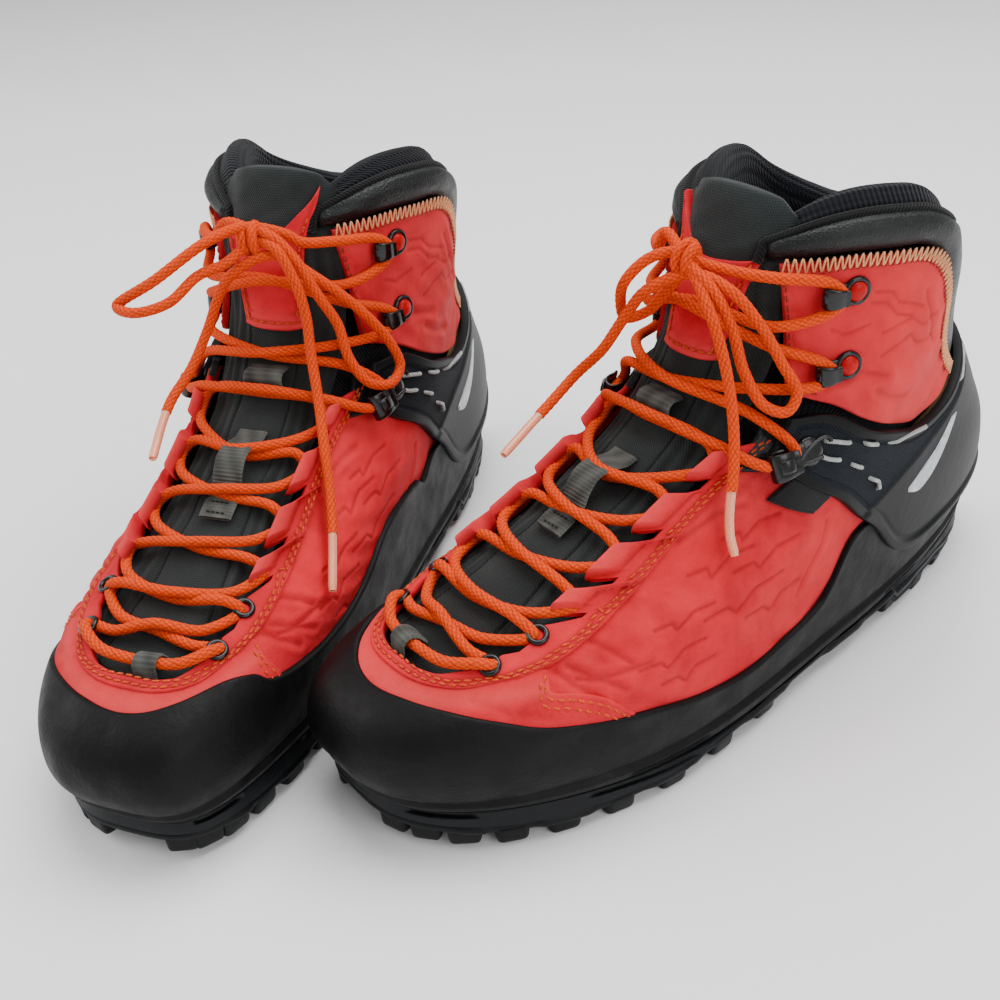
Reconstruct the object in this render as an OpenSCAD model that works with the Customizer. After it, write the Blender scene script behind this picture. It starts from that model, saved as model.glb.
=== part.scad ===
// A pair of laced mid-height mountaineering boots, toes towards -Y, standing on z = 0.
// Every piece is drawn for the left boot about the boot's own origin, then placed or mirrored.

/* [Pair] */
// Sideways distance of each boot from the middle of the pair
boot_offset_x = 70; // [70:1:110]
// Distance of each boot behind or ahead of the middle
boot_offset_y = 25; // [18:1:25]
// Toe-in of each boot in degrees
toe_in = 16; // [8:1:16]

/* [Last] */
// Half width of the upper at the ball of the foot
ball_half = 48; // [46:0.5:49]
// Half width of the upper at the waist
waist_half = 40; // [38:0.5:42]
// Half width of the upper around the heel
heel_half = 42; // [40:0.5:43]
// Height of the front edge of the cuff
cuff_height = 146; // [142:1:150]

/* [Layers] */
// Thickness of the leather panels
leather = 2; // [1.6:0.1:2.1]
// Thickness of the rubber rand
rand_wall = 2; // [1.6:0.1:2.4]
// Thickness of the moulded heel cage
cage_wall = 2.4; // [2:0.1:2.8]
// Thickness of the waterproof lining
lining_wall = 1.8; // [1.2:0.1:2]

/* [Sole] */
// Depth of the lugs
lug_depth = 5; // [4:0.5:5.5]
// How far the sole stands out beyond the upper
welt = 1.6; // [1:0.1:2]

/* [Lace] */
// Diameter of the round lace
lace_diameter = 3.6; // [3.2:0.1:4]
// Length of each aglet
aglet_length = 20; // [14:1:22]

/* [Hidden] */
PIECES = ["outsole", "midsole", "shank", "insole_board", "footbed", "toe_puff", "heel_counter",
          "lining", "collar_lining", "vamp", "quarter_lateral", "quarter_medial", "eyestay",
          "cuff_lateral", "cuff_medial", "collar_cover", "tongue", "tongue_pad", "tongue_patch",
          "webbing_loops", "rand", "heel_cage", "cage_cables", "flag_label", "ring_eyelets",
          "lace_hooks", "lock_hooks", "lace_outer", "lace_inner", "aglets"];

// Brings the middle of the pair's box to y = 0
pair_shift_y = -1.65;

// Colours
coral = "#e4534f";
rubber = "#1d1e20";
softshell = "#3a4040";
collar_green = "#2b3534";
mesh_black = "#16171d";
lace_orange = "#f4622c";
webbing_grey = "#6b6a66";
metal_black = "#0e0e10";
board_tan = "#b79b6d";

// ---------------------------------------------------------------- the last
// Sections of the upper from the sole edge (level 0) to the collar (level 1.16) and the
// tongue tip (level 1.3): level, front y and z, back y and z, half widths at ball, waist
// and heel, sideways shift of the front, fall of the sides, fullness of the front.
LAST = [
    [0.00, -138, 19, 143, 20, ball_half - 1, waist_half - 2, heel_half - 4, -9, 8, 0.62],
    [0.12, -144, 31, 147, 38, ball_half, waist_half - 1, heel_half, -9, 5, 0.62],
    [0.24, -138, 44, 144, 56, ball_half, waist_half, heel_half + 1, -8, 1, 0.66],
    [0.36, -118, 54, 135, 72, 45, waist_half + 1, heel_half, -6, 0, 0.76],
    [0.48, -90, 64, 126, 86, 39, waist_half + 1, heel_half - 1, -5, 0, 0.84],
    [0.60, -60, 77, 117, 98, 36, waist_half + 1, heel_half - 2, -4, 0, 0.92],
    [0.72, -28, 94, 110, 110, 36, waist_half + 2, heel_half - 3, -3, 0, 0.94],
    [0.86, -8, 118, 106, 126, 37, waist_half + 3, heel_half - 4, -2, 0, 0.94],
    [1.00, -2, cuff_height, 103, 142, 38, waist_half + 3, heel_half - 4, 0, 0, 0.94],
    [1.16, 4, cuff_height + 13, 101, 146, 39, waist_half + 3, heel_half - 4, 0, -12, 0.94],
    [1.30, 6, cuff_height + 28, 101, 154, 40, waist_half + 3, heel_half - 4, 0, -14, 0.94]];
top_level = 1.3;
toe_shift_power = 8;
ball_bulge = 3;
back_fullness = 0.85;

function smooth(a, b, v) = let (u = min(1, max(0, (v - a) / (b - a)))) u * u * (3 - 2 * u);
function last_row(t) = max(0, min(len(LAST) - 2, len([for (r = LAST) if (r[0] <= t) 1]) - 1));
function last_slope(i) =
    let (a = LAST[max(0, i - 1)], b = LAST[min(len(LAST) - 1, i + 1)]) (b - a) / (b[0] - a[0]);
function section(t) =
    let (i = last_row(t), a = LAST[i], b = LAST[i + 1], h = b[0] - a[0], u = (t - a[0]) / h)
    a * (1 + 2 * u) * (1 - u) * (1 - u) + last_slope(i) * h * u * (1 - u) * (1 - u)
    + b * u * u * (3 - 2 * u) + last_slope(i + 1) * h * u * u * (u - 1);

// Point of the upper's outer face at angle a (0 front, 90 lateral, 180 back) and level t.
function skin(a, t) =
    let (r = section(t), s = (1 - cos(a)) / 2,
         w = r[5] + (r[6] - r[5]) * smooth(0.22, 0.62, s) + (r[7] - r[6]) * smooth(0.62, 0.9, s),
         p = r[10] + (back_fullness - r[10]) * smooth(0.3, 0.8, s),
         bulge = ball_bulge * max(0, 1 - 2 * t) * 6.75 * s * (1 - s) * (1 - s),
         x = sign(sin(a)) * w * pow(abs(sin(a)), p) + r[8] * pow(1 - s, toe_shift_power) + bulge)
    [x, r[1] + (r[3] - r[1]) * s, r[2] + (r[4] - r[2]) * s - r[9] * sin(180 * s)];
function unit(v) = v / norm(v);
function along(a, t) = unit(skin(a + 1, t) - skin(a - 1, t));
function outward(a, t) =
    unit(cross(along(a, t), skin(a, min(t + 0.01, top_level)) - skin(a, max(t - 0.01, 0))));
function off(q) = skin(q[0], q[1]) + q[2] * outward(q[0], q[1]);

// ---------------------------------------------------------------- solids from the last
function mix(p, q, u) = p + (q - p) * u;
function quad(a, b, c, d) = [[a, b, c], [a, c, d]];
function flat_list(v) = [for (a = v, b = a) b];

// Closed sheet of even thickness; grid is columns of [angle, level, height of its inner face].
module sheet(grid, wall, wrap = false) {
    c = len(grid);
    r = len(grid[0]);
    last = wrap ? c : c - 1;
    inner = [for (col = grid, q = col) off(q)];
    outer = [for (col = grid, q = col) off(q + [0, 0, wall])];
    function lo(i, j) = (i % c) * r + j;
    function hi(i, j) = c * r + (i % c) * r + j;
    faces = flat_list([
        for (i = [0 : last - 1], j = [0 : r - 2])
            quad(hi(i, j), hi(i, j + 1), hi(i + 1, j + 1), hi(i + 1, j)),
        for (i = [0 : last - 1], j = [0 : r - 2])
            quad(lo(i + 1, j), lo(i + 1, j + 1), lo(i, j + 1), lo(i, j)),
        for (i = [0 : last - 1]) quad(hi(i, 0), hi(i + 1, 0), lo(i + 1, 0), lo(i, 0)),
        for (i = [0 : last - 1])
            quad(hi(i + 1, r - 1), hi(i, r - 1), lo(i, r - 1), lo(i + 1, r - 1)),
        if (!wrap) for (j = [0 : r - 2]) quad(hi(0, j + 1), hi(0, j), lo(0, j), lo(0, j + 1)),
        if (!wrap) for (j = [0 : r - 2])
            quad(hi(c - 1, j), hi(c - 1, j + 1), lo(c - 1, j + 1), lo(c - 1, j))]);
    polyhedron(concat(inner, outer), faces);
}

// Sheet between a lower and an upper edge, each a list of [angle, level] of the same length.
module panel(lower, upper, steps, inner, wall, wrap = false) {
    sheet([for (i = [0 : len(lower) - 1]) [for (j = [0 : steps])
        let (q = mix(lower[i], upper[i], j / steps)) [q[0], q[1], inner]]], wall, wrap);
}

// Closed solid through matching closed rings of points, with flat ends.
module loft(rings) {
    n = len(rings);
    k = len(rings[0]);
    faces = concat(
        flat_list([for (i = [0 : n - 2], j = [0 : k - 1])
            quad(i * k + j, (i + 1) * k + j, (i + 1) * k + (j + 1) % k, i * k + (j + 1) % k)]),
        [for (j = [1 : k - 2]) [0, j, j + 1]],
        [for (j = [1 : k - 2]) [(n - 1) * k, (n - 1) * k + j + 1, (n - 1) * k + j]]);
    polyhedron(flat_list(rings), faces);
}

// Strap across the last: path of [angle, level, height], width in millimetres.
module strap(path, width, wall) {
    n = len(path);
    mid = [for (q = path) off(q)];
    loft([for (i = [0 : n - 1])
        let (up = outward(path[i][0], path[i][1]),
             dir = unit(mid[min(n - 1, i + 1)] - mid[max(0, i - 1)]),
             side = unit(cross(up, dir)) * width / 2,
             lift = unit(cross(dir, side)) * wall)
        [mid[i] + side, mid[i] - side, mid[i] - side + lift, mid[i] + side + lift]]);
}

// Round tube through a list of points.
module tube(points, radius, sides = 8) {
    n = len(points);
    function dir(i) = unit(points[min(n - 1, i + 1)] - points[max(0, i - 1)]);
    function turn(v, d) = unit(v - (v * d) * d);
    sides_at = [for (i = 0, v = turn([0.31, 0.52, 0.8], dir(0)); i < n;
                     i = i + 1, v = turn(v, dir(min(i, n - 1)))) v];
    loft([for (i = [0 : n - 1]) let (u = sides_at[i], w = cross(dir(i), u))
        [for (k = [0 : sides - 1])
            points[i] + radius * (cos(-360 * k / sides) * u + sin(-360 * k / sides) * w)]]);
}

// Puts a fitting on the last: its x runs backwards round the boot, its z points outwards.
module on_last(a, t, h) {
    x = along(a, t);
    z = outward(a, t);
    y = cross(z, x);
    p = off([a, t, h]);
    multmatrix([[x[0], y[0], z[0], p[0]], [x[1], y[1], z[1], p[1]], [x[2], y[2], z[2], p[2]],
                [0, 0, 0, 1]]) children();
}

// ---------------------------------------------------------------- seam lines, [angle, level]
// Upper edge of the rand
RAND_LATERAL = [[0, 0.295], [10, 0.3], [22, 0.29], [34, 0.26], [44, 0.22], [52, 0.195],
                [62, 0.165], [72, 0.13], [82, 0.11], [94, 0.13], [98, 0.17], [103, 0.25]];
RAND_MEDIAL = [[-103, 0.25], [-98, 0.22], [-94, 0.25], [-82, 0.27], [-72, 0.205], [-62, 0.19],
               [-52, 0.205], [-44, 0.235], [-38, 0.28], [-28, 0.31], [-14, 0.31]];
// Lower front edge of the heel cage, from the throat down to the rand
CAGE_FRONT = [[57, 0.69], [70, 0.62], [91, 0.46], [104, 0.27]];
// Upper edge of the heel cage and lower edge of the cuffs
CAGE_TOP = [[56, 0.75], [74, 0.72], [100, 0.59], [116, 0.49], [130, 0.48], [144, 0.53],
            [162, 0.6], [180, 0.63]];
// Outer edge of the eyestay, from the toe up the lateral side
STAY_OUT = [[0, 0.33], [16, 0.325], [29, 0.33], [37, 0.35], [41, 0.375], [43, 0.395], [45, 0.42],
            [46, 0.44], [48, 0.47], [48, 0.5], [49, 0.54], [49, 0.58], [50, 0.62], [51, 0.65],
            [54, 0.68], [56, 0.71]];
// Inner edge of the eyestay with its lace tabs, and how far each tab stands up
STAY_IN = [[0, 0.35], [13, 0.35], [19, 0.36], [20, 0.375], [26, 0.385], [22, 0.405], [26, 0.43],
           [36, 0.435], [29, 0.47], [38, 0.5], [31, 0.54], [40, 0.58], [33, 0.62], [41, 0.655],
           [34, 0.685], [37, 0.715]];
STAY_LIFT = [0, 0, 0, 0, 0, 0, 0, 0, 4, 0, 4, 0, 4, 0, 4, 1];
// Front, lower, rear and upper edges of the lateral cuff
CUFF_LOW = [[45, 0.86], [52, 0.8], [61, 0.775], [74, 0.735], [88, 0.67], [100, 0.605],
            [116, 0.505], [128, 0.495], [139, 0.52]];
CUFF_HIGH = [[34, 1.03], [44, 1.03], [54, 1.03], [66, 1.03], [78, 1.025], [90, 1.02],
             [101, 0.99], [110, 0.91], [124, 0.76]];
// Lower and upper edges of the collar cover, lateral half from the front to the back
COLLAR_LOW = [[26, 1.045], [34, 1.045], [46, 1.045], [60, 1.045], [78, 1.04], [91, 1.035],
              [103, 1.0], [113, 0.91], [127, 0.76], [142, 0.545], [160, 0.61], [180, 0.64]];
COLLAR_HIGH = [[24, 1.1], [34, 1.125], [46, 1.14], [60, 1.14], [78, 1.13], [92, 1.12],
               [106, 1.09], [118, 1.06], [130, 1.03], [146, 0.99], [162, 0.97], [180, 0.96]];
eyelet_places = [[24, 0.37], [30, 0.42]];
hook_places = [[70, 0.825], [66, 0.965]];
lock_place = [72, 0.655];

function mirrored(edge) = [for (i = [len(edge) - 1 : -1 : 0]) [-edge[i][0], edge[i][1]]];
function backwards(edge) = [for (i = [len(edge) - 1 : -1 : 0]) edge[i]];
// An edge with a point added halfway along each of its steps
function halved(edge) = concat([edge[0]], [for (i = [1 : len(edge) - 1])
    each [(edge[i - 1] + edge[i]) / 2, edge[i]]]);
// An edge carried round the back of the heel to the other side
function round_back(edge) = concat(edge, [for (i = [len(edge) - 2 : -1 : 0])
                                          [360 - edge[i][0], edge[i][1]]]);
function level_edge(edge, t) = [for (q = edge) [q[0], t]];

// ---------------------------------------------------------------- sole
SOLE_ANGLES = [4, 10, 18, 27, 36, 45, 54, 63, 72, 81, 90, 99, 108, 117, 126, 135, 144, 153, 162,
               170, 176];
// Underside of the tread plate against y, forefoot and arch, then the heel block
TREAD_FRONT = [[-150, 12], [-140, 10], [-125, 8], [-108, 6], [-92, lug_depth], [-55, lug_depth],
               [-38, 6], [-18, 7], [6, 7.5], [62, 7.5]];
TREAD_HEEL = [[66, 7.5], [68, lug_depth], [135, lug_depth], [150, 6.5]];
tread_plate = 2.5;
function tread(y) = y < 64 ? lookup(y, TREAD_FRONT) : lookup(y, TREAD_HEEL);
function bite(a) = skin(a, 0)[2];
function flare(a) = let (d = skin(a + 1, 0) - skin(a - 1, 0)) unit([d[1], -d[0], 0]);
// Point of the sole's side: at height z, standing out beyond the upper's edge
function rim(a, out, z) = let (p = skin(a, 0) + out * flare(a)) [p[0], p[1], z];
// Cross-section of a sole layer at one station, from its two edges
function layer(a, lo_out, hi_out, z_lo, z_hi) =
    [rim(-a, lo_out, z_lo), rim(-a, hi_out, z_hi), rim(a, hi_out, z_hi), rim(a, lo_out, z_lo)];

function sole_y(a) = skin(a, 0)[1];
module lug(x, y, w, l, spin) {
    z = tread(y);
    hull() {
        translate([x, y, z + 1]) rotate(spin) cube([w, l, 1], center = true);
        translate([x, y, z - lug_depth + 0.5]) rotate(spin) cube([w - 2.4, l - 2, 1], center = true);
    }
}
// Edge and centre lugs of the forefoot and heel
module lugs() {
    for (a = [27 : 9.5 : 84], side = [-1, 1]) {
        p = rim(side * a, -8, 0);
        lug(p[0], p[1], 15, 9, side * 14);
    }
    for (y = [-104 : 17 : -36], x = [-13, 11]) lug(x, y, 15, 9, x > 0 ? 28 : -28);
    for (a = [117, 128, 139, 150], side = [-1, 1]) {
        p = rim(side * a, -8, 0);
        lug(p[0], p[1], 14, 9, side * (a - 117) * 0.9);
    }
    for (x = [-11, 11]) lug(x, 132, 13, 9, x * 1.5);
    for (y = [84 : 20 : 110]) lug(0, y, 15, 9, 0);
}

module outsole() {
    color(rubber) union() {
        loft([for (a = SOLE_ANGLES) let (z = tread(sole_y(a)))
            layer(a, welt - 1, welt + 0.6, z, z + tread_plate)]);
        lugs();
    }
}
module midsole() {
    color(rubber) loft([for (a = SOLE_ANGLES) let (z = tread(sole_y(a)) + tread_plate + 0.05)
        [rim(-a, welt, z), rim(-a, welt + 0.5, z + 0.7), rim(-a, welt - 0.8, bite(a) - 0.9),
         rim(-a, welt - 0.2, bite(a) - 0.2), rim(a, welt - 0.2, bite(a) - 0.2),
         rim(a, welt - 0.8, bite(a) - 0.9), rim(a, welt + 0.5, z + 0.7), rim(a, welt, z)]]);
}
module shank() {
    color("silver") loft([for (a = [64 : 10 : 134]) let (z = bite(a) + 0.1)
        [[-13, sole_y(a), z], [-13, sole_y(a), z + 1.2], [13, sole_y(a), z + 1.2],
         [13, sole_y(a), z]]]);
}
module insole_board() {
    color(board_tan) loft([for (a = SOLE_ANGLES)
        layer(a, -7.5, -7.5, bite(a) + 1.5, bite(a) + 3)]);
}
module footbed() {
    color("#30343a") loft([for (a = [10 : 10 : 170])
        let (z = bite(a) + 3.2, cup = a > 100 ? 3 : 1)
        [rim(-a, -8, z), rim(-a, -7.6, z + 4 + cup), rim(-a, -14, z + 4), rim(a, -14, z + 4),
         rim(a, -7.6, z + 4 + cup), rim(a, -8, z)]]);
}

// ---------------------------------------------------------------- inner layers
skin_gap = 0.3;
puff_inner = -leather - 1.9;
puff_wall = 1.2;
lining_inner = puff_inner - lining_wall - 0.4;
// The puff, counter and lining share stations, so that their flat facets lie parallel
lining_rise = 0.077;
function lining_edge(from, to) = [for (a = [from : 12 : to]) [a, 0.05]];
module toe_puff() {
    edge = lining_edge(-60, 60);
    color(board_tan) panel(edge, level_edge(edge, 0.05 + 3 * lining_rise), 3, puff_inner, puff_wall);
}
module heel_counter() {
    edge = lining_edge(108, 252);
    color(board_tan) panel(edge, level_edge(edge, 0.05 + 5 * lining_rise), 5, puff_inner, puff_wall);
}
module lining() {
    edge = lining_edge(0, 348);
    color(mesh_black) panel(edge, level_edge(edge, 0.05 + 9 * lining_rise), 9, lining_inner,
                            lining_wall, true);
}
// Padded roll inside the collar; one rounded section turned round the leg
module collar_lining() {
    top = round_back(COLLAR_HIGH);
    color(mesh_black) loft([for (q = top) let (a = q[0], t = q[1]) [
        off([a, 0.77, -3.4]), off([a, 0.9, -3.4]), off([a, t - 0.02, -3.2]),
        off([a, t + 0.035, -4.5]), off([a, t + 0.045, -8]), off([a, t + 0.01, -11]),
        off([a, 0.92, -10]), off([a, 0.77, -6.5])]]);
}

// ---------------------------------------------------------------- leather and rubber
// Body panel of the vamp: round the toe between the rand and the eyestay
module vamp() {
    low = concat([for (a = [-44, -36, -28, -14]) [a, 0.1]], [for (a = [0, 14, 28, 40, 50]) [a, 0.1]]);
    high = [[-34, 0.35], [-29, 0.33], [-20, 0.328], [-10, 0.326], [0, 0.326], [10, 0.322],
            [20, 0.322], [30, 0.326], [37, 0.345]];
    color(coral) panel(low, high, 5, -leather - skin_gap, leather);
}
QUARTER_LOW = [[52, 0.08], [62, 0.08], [72, 0.07], [82, 0.07], [94, 0.08], [103, 0.14],
               [107, 0.22]];
QUARTER_HIGH = [[40, 0.35], [46, 0.42], [49, 0.5], [50, 0.58], [53, 0.65], [62, 0.645],
                [80, 0.53]];
module quarter(side) {
    low = side > 0 ? QUARTER_LOW : mirrored(QUARTER_LOW);
    high = side > 0 ? QUARTER_HIGH : mirrored(QUARTER_HIGH);
    color(coral) panel(low, high, 6, -leather - skin_gap, leather);
}
module eyestay() {
    out_edge = concat(mirrored(STAY_OUT), [for (i = [1 : len(STAY_OUT) - 1]) STAY_OUT[i]]);
    in_edge = concat(mirrored(STAY_IN), [for (i = [1 : len(STAY_IN) - 1]) STAY_IN[i]]);
    lift = concat(backwards(STAY_LIFT), [for (i = [1 : len(STAY_LIFT) - 1]) STAY_LIFT[i]]);
    grid = [for (i = [0 : len(out_edge) - 1]) [for (j = [0 : 3])
        let (u = j / 3, q = mix(out_edge[i], in_edge[i], u))
        [q[0], q[1], lift[i] * smooth(0.3, 1, u)]]];
    color(coral) sheet(grid, leather - 0.3);
}
module cuff(side) {
    low = side > 0 ? CUFF_LOW : mirrored(CUFF_LOW);
    high = side > 0 ? CUFF_HIGH : mirrored(CUFF_HIGH);
    color(coral) panel(low, high, 6, -leather - skin_gap, leather);
}
// Padded band above and behind the cuffs, fuller in the middle than at its edges
module collar_cover() {
    low = round_back(COLLAR_LOW);
    high = round_back(COLLAR_HIGH);
    color(collar_green) sheet([for (i = [0 : len(low) - 1]) [for (j = [0 : 4])
        let (u = j / 4, q = mix(low[i], high[i], u))
        [q[0], q[1], -3 + 3.2 * sin(180 * u) - 0.3 * u]]], 2.6);
}
rand_bottom = 0.004;
module rand() {
    top = concat(RAND_LATERAL, [[108, 0.12], [120, 0.1], [135, 0.09], [155, 0.085], [180, 0.08],
                 [205, 0.085], [225, 0.09], [240, 0.1], [252, 0.12]],
                 [for (q = RAND_MEDIAL) [q[0] + 360, q[1]]]);
    color(rubber) panel(level_edge(top, rand_bottom), top, 4, 0.05, rand_wall, true);
}
module heel_cage() {
    // Lower edge: down the front of the cage, then just above the rand round the heel
    lower = round_back([[57, 0.69], [70, 0.62], [91, 0.46], [104, 0.28], [114, 0.13],
                        [128, 0.105], [150, 0.1], [180, 0.095]]);
    upper = round_back(CAGE_TOP);
    color(rubber) panel(halved(lower), halved(upper), 7, 0.2, cage_wall);
}
module cage_cable(side) {
    h = cage_wall + 1;
    tube([for (q = [[76, 0.64], [86, 0.6], [98, 0.53], [106, 0.44], [111, 0.32], [115, 0.2]])
          off([side * q[0], q[1], h])], 0.7, 6);
    tube([for (q = [[78, 0.61], [88, 0.56], [97, 0.48], [101, 0.4]])
          off([side * q[0], q[1], h])], 0.7, 6);
}
module cage_cables() {
    color("lightgray") {
        cage_cable(1);
        cage_cable(-1);
    }
}
module flag_label() {
    color("#101010") strap([[75, 0.575, 2.9], [78, 0.555, 2.9], [82, 0.525, 2.9], [86, 0.495, 2.9]],
                           9, 0.9);
}

// ---------------------------------------------------------------- tongue
module tongue() {
    low = [for (a = [-42 : 12 : 42]) [a * 0.8, 0.36]];
    high = [for (a = [-42 : 12 : 42]) [a, 1.02]];
    color(softshell) panel(low, high, 12, -leather - 2.2, 1.7);
}
module tongue_pad() {
    // Its sides thin out where they slip behind the collar
    color(softshell) loft([for (a = [-36 : 9 : 36])
        let (tip = 1.26 - 0.07 * pow(a / 36, 2), sunk = 2.6 * smooth(14, 27, abs(a)))
        [off([a, 1.03, -6]), off([a, 1.03, -1.2 - sunk]), off([a, mix(1.03, tip, 0.6), -0.6 - sunk]),
         off([a, tip, -2.4 - sunk]), off([a, tip - 0.02, -7]), off([a, 1.06, -7.4])]]);
}
module tongue_patch() {
    low = [for (a = [-17, -8, 0, 8, 17]) [a, 0.86]];
    high = [for (a = [-25, -12, 0, 12, 25]) [a, 1.015]];
    color(coral) panel(low, high, 4, -leather - 0.1, 1.3);
}
loop_wall = 1.2;
module webbing_loops() {
    color(webbing_grey) {
        strap([[-2, 0.363, -1.9], [-2, 0.364, 1.2], [-2, 0.368, 4.2], [-2, 0.38, 4],
               [-2, 0.388, -1.9]], 8, loop_wall);
        strap([[0, 0.6, -2.2], [0, 0.625, -2.2], [0, 0.64, 3], [0, 0.655, 8], [0, 0.67, 6],
               [0, 0.685, -2.2], [0, 0.7, -2.2]], 11, loop_wall);
        strap([[0, 0.765, -2.2], [0, 0.776, 0.5], [0, 0.79, 0.5], [0, 0.8, -2.2]], 15, loop_wall);
    }
}

// ---------------------------------------------------------------- fittings
eyelet_bore = 1.9;
eyelet_wall = 0.6;
module ring_eyelet() {
    difference() {
        union() {
            translate([0, 0, -1.7]) cylinder(r = eyelet_bore + eyelet_wall - 0.05, h = 2.4, $fn = 32);
            translate([0, 0, 0.1]) cylinder(r = eyelet_bore + 1.6, h = 0.8, $fn = 32);
        }
        translate([0, 0, -3]) cylinder(r = eyelet_bore, h = 8, $fn = 32);
    }
}
module ring_eyelets() {
    color(metal_black) for (q = eyelet_places, side = [-1, 1])
        on_last(side * q[0], q[1], leather - 0.3) ring_eyelet();
}
hook_plate = 1.2;
hook_width = 7;
hook_radius = 2.9;
// Round base with a rivet cap and a bent arm whose mouth opens away from the throat
module hook_body(width, radius) {
    difference() {
        cylinder(r = 4.6, h = hook_plate, $fn = 40);
        translate([0, 0, -1]) cylinder(r = 1.6, h = 5, $fn = 24);
    }
    translate([-9, -width / 2, 0]) cube([6, width, hook_plate]);
    translate([-9, 0, radius]) rotate([90, 0, 0]) translate([0, 0, -width / 2])
        rotate([0, 0, 90]) rotate_extrude(angle = 180, $fn = 40)
            translate([radius - hook_plate, 0]) square([hook_plate, width]);
    translate([-9, -width / 2, 2 * radius - hook_plate]) cube([4, width, hook_plate]);
}
module rivet() {
    translate([0, 0, -2.2]) cylinder(r = 1.5, h = 3, $fn = 24);
    translate([0, 0, hook_plate + 0.02]) cylinder(r = 2.6, h = 0.9, $fn = 32);
    translate([0, 0, 0.5]) cylinder(r = 1.5, h = hook_plate, $fn = 24);
}
module lace_hooks() {
    color(metal_black) for (q = hook_places, side = [-1, 1])
        on_last(side * q[0], q[1], 0.05) mirror([side < 0 ? 1 : 0, 0, 0]) {
            hook_body(hook_width, hook_radius);
            rivet();
        }
}
module lock_hooks() {
    color(metal_black) for (side = [-1, 1])
        on_last(side * lock_place[0], lock_place[1], cage_wall + 0.3)
            mirror([side < 0 ? 1 : 0, 0, 0]) {
                translate([-4, 0, 0]) hook_body(hook_width + 2, hook_radius + 0.2);
            }
}

// ---------------------------------------------------------------- lacing
// Route of one half of the lace from the toe loop up to its top hook: angle (positive on the
// half's own starting side), level, height for the first half and for the second half.
LADDER = [[-0.5, 0.375, 1.2, 1.2], [12, 0.37, 2.6, 2.6], [22, 0.37, 4, 4], [25, 0.374, 1.5, 1.5],
          [14, 0.4, 0.5, 0.5], [0, 0.425, 3.6, -0.3], [-16, 0.42, 0.5, 0.5],
          [-29, 0.421, 1.5, 1.5], [-22, 0.445, 4, 4], [0, 0.472, -0.3, 3.6], [24, 0.46, 2, 2],
          [34, 0.47, 1.4, 1.4], [26, 0.505, 2, 2], [0, 0.545, 3.6, -0.3], [-26, 0.535, 2, 2],
          [-36, 0.54, 1.4, 1.4], [-28, 0.58, 2, 2], [0, 0.618, -0.3, 3.6], [28, 0.61, 2, 2],
          [38, 0.62, 1.4, 1.4], [30, 0.652, 2, 2], [0, 0.67, 3.6, -0.3], [-30, 0.675, 2, 2],
          [-40, 0.685, 1.4, 1.4], [-34, 0.722, 2, 2], [0, 0.76, -0.3, 3.6], [34, 0.725, 4.5, 4.5],
          [60, 0.655, 6, 6], [66, 0.662, 6.4, 6.4], [62, 0.69, 6, 6], [40, 0.775, 4.5, 4.5],
          [0, 0.82, 3.6, -0.3], [-36, 0.82, 4.5, 4.5], [-60, 0.805, 3.3, 3.3],
          [-64, 0.822, 3.3, 3.3], [-58, 0.85, 3.3, 3.3], [-36, 0.895, 4.5, 4.5],
          [0, 0.94, -0.3, 3.6], [36, 0.925, 4.5, 4.5], [56, 0.94, 3.3, 3.3],
          [60, 0.962, 3.3, 3.3], [54, 0.99, 3.3, 3.3], [34, 1.005, 4.6, 4.6],
          [20, 1.01, 6, 6]];
// Bow of each half after the ladder, ending at the tip: angle, level, height
LEFT_BOW_OUTER = [[6, 1.015, 9], [-2, 1.02, 12], [-7, 1, 16], [-10, 0.97, 20], [-15, 0.93, 18],
                  [-17, 0.89, 14], [-13, 0.91, 9], [-4, 0.96, 8], [5, 1, 11], [16, 0.96, 16],
                  [22, 0.9, 16], [29, 0.82, 14], [38, 0.74, 11], [49, 0.66, 8], [57, 0.59, 6],
                  [63, 0.52, 5], [68, 0.45, 5]];
LEFT_BOW_INNER = [[-15, 1.05, 7], [-4, 1.03, 8], [5, 1.01, 12], [16, 0.98, 13], [23, 0.93, 12],
                  [31, 0.85, 10], [42, 0.79, 9], [50, 0.775, 9], [50, 0.81, 9], [41, 0.87, 9],
                  [32, 0.93, 9], [20, 0.985, 11], [6, 0.995, 10], [-5, 0.96, 16], [-11, 0.9, 18],
                  [-17, 0.81, 18], [-29, 0.73, 18], [-34, 0.66, 18], [-31, 0.62, 18],
                  [-27, 0.585, 18]];
RIGHT_BOW_OUTER = [[12, 1.05, 7], [0, 1.04, 9], [-11, 1.02, 12], [-18, 0.98, 12],
                   [-24, 0.92, 12], [-31, 0.86, 10], [-38, 0.79, 9], [-50, 0.725, 9],
                   [-63, 0.69, 9], [-65, 0.72, 9], [-56, 0.79, 9], [-40, 0.88, 9],
                   [-24, 0.95, 10], [-10, 0.99, 11], [4, 0.96, 14], [11, 0.92, 14],
                   [16, 0.84, 16], [20, 0.75, 18], [24, 0.68, 20], [24, 0.65, 20],
                   [19, 0.6, 20]];
RIGHT_BOW_INNER = [[-14, 1.03, 8], [-1, 1.04, 12], [4, 1.01, 25], [12, 0.97, 38], [20, 0.93, 45],
                   [14, 0.925, 45], [9, 0.94, 38], [6, 0.97, 28], [3, 0.98, 18], [-3, 1.01, 10],
                   [-12, 1, 14], [-17, 0.95, 15], [-19, 0.89, 14], [-22, 0.81, 12],
                   [-30, 0.72, 10], [-42, 0.63, 8], [-51, 0.54, 6], [-57, 0.43, 5],
                   [-58, 0.31, 5]];
function ladder(side) = [for (q = LADDER) off([side * q[0], q[1], side > 0 ? q[2] : q[3]])];
function whole_route(side, bow) = concat(ladder(side), [for (q = bow) off(q)]);
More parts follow.
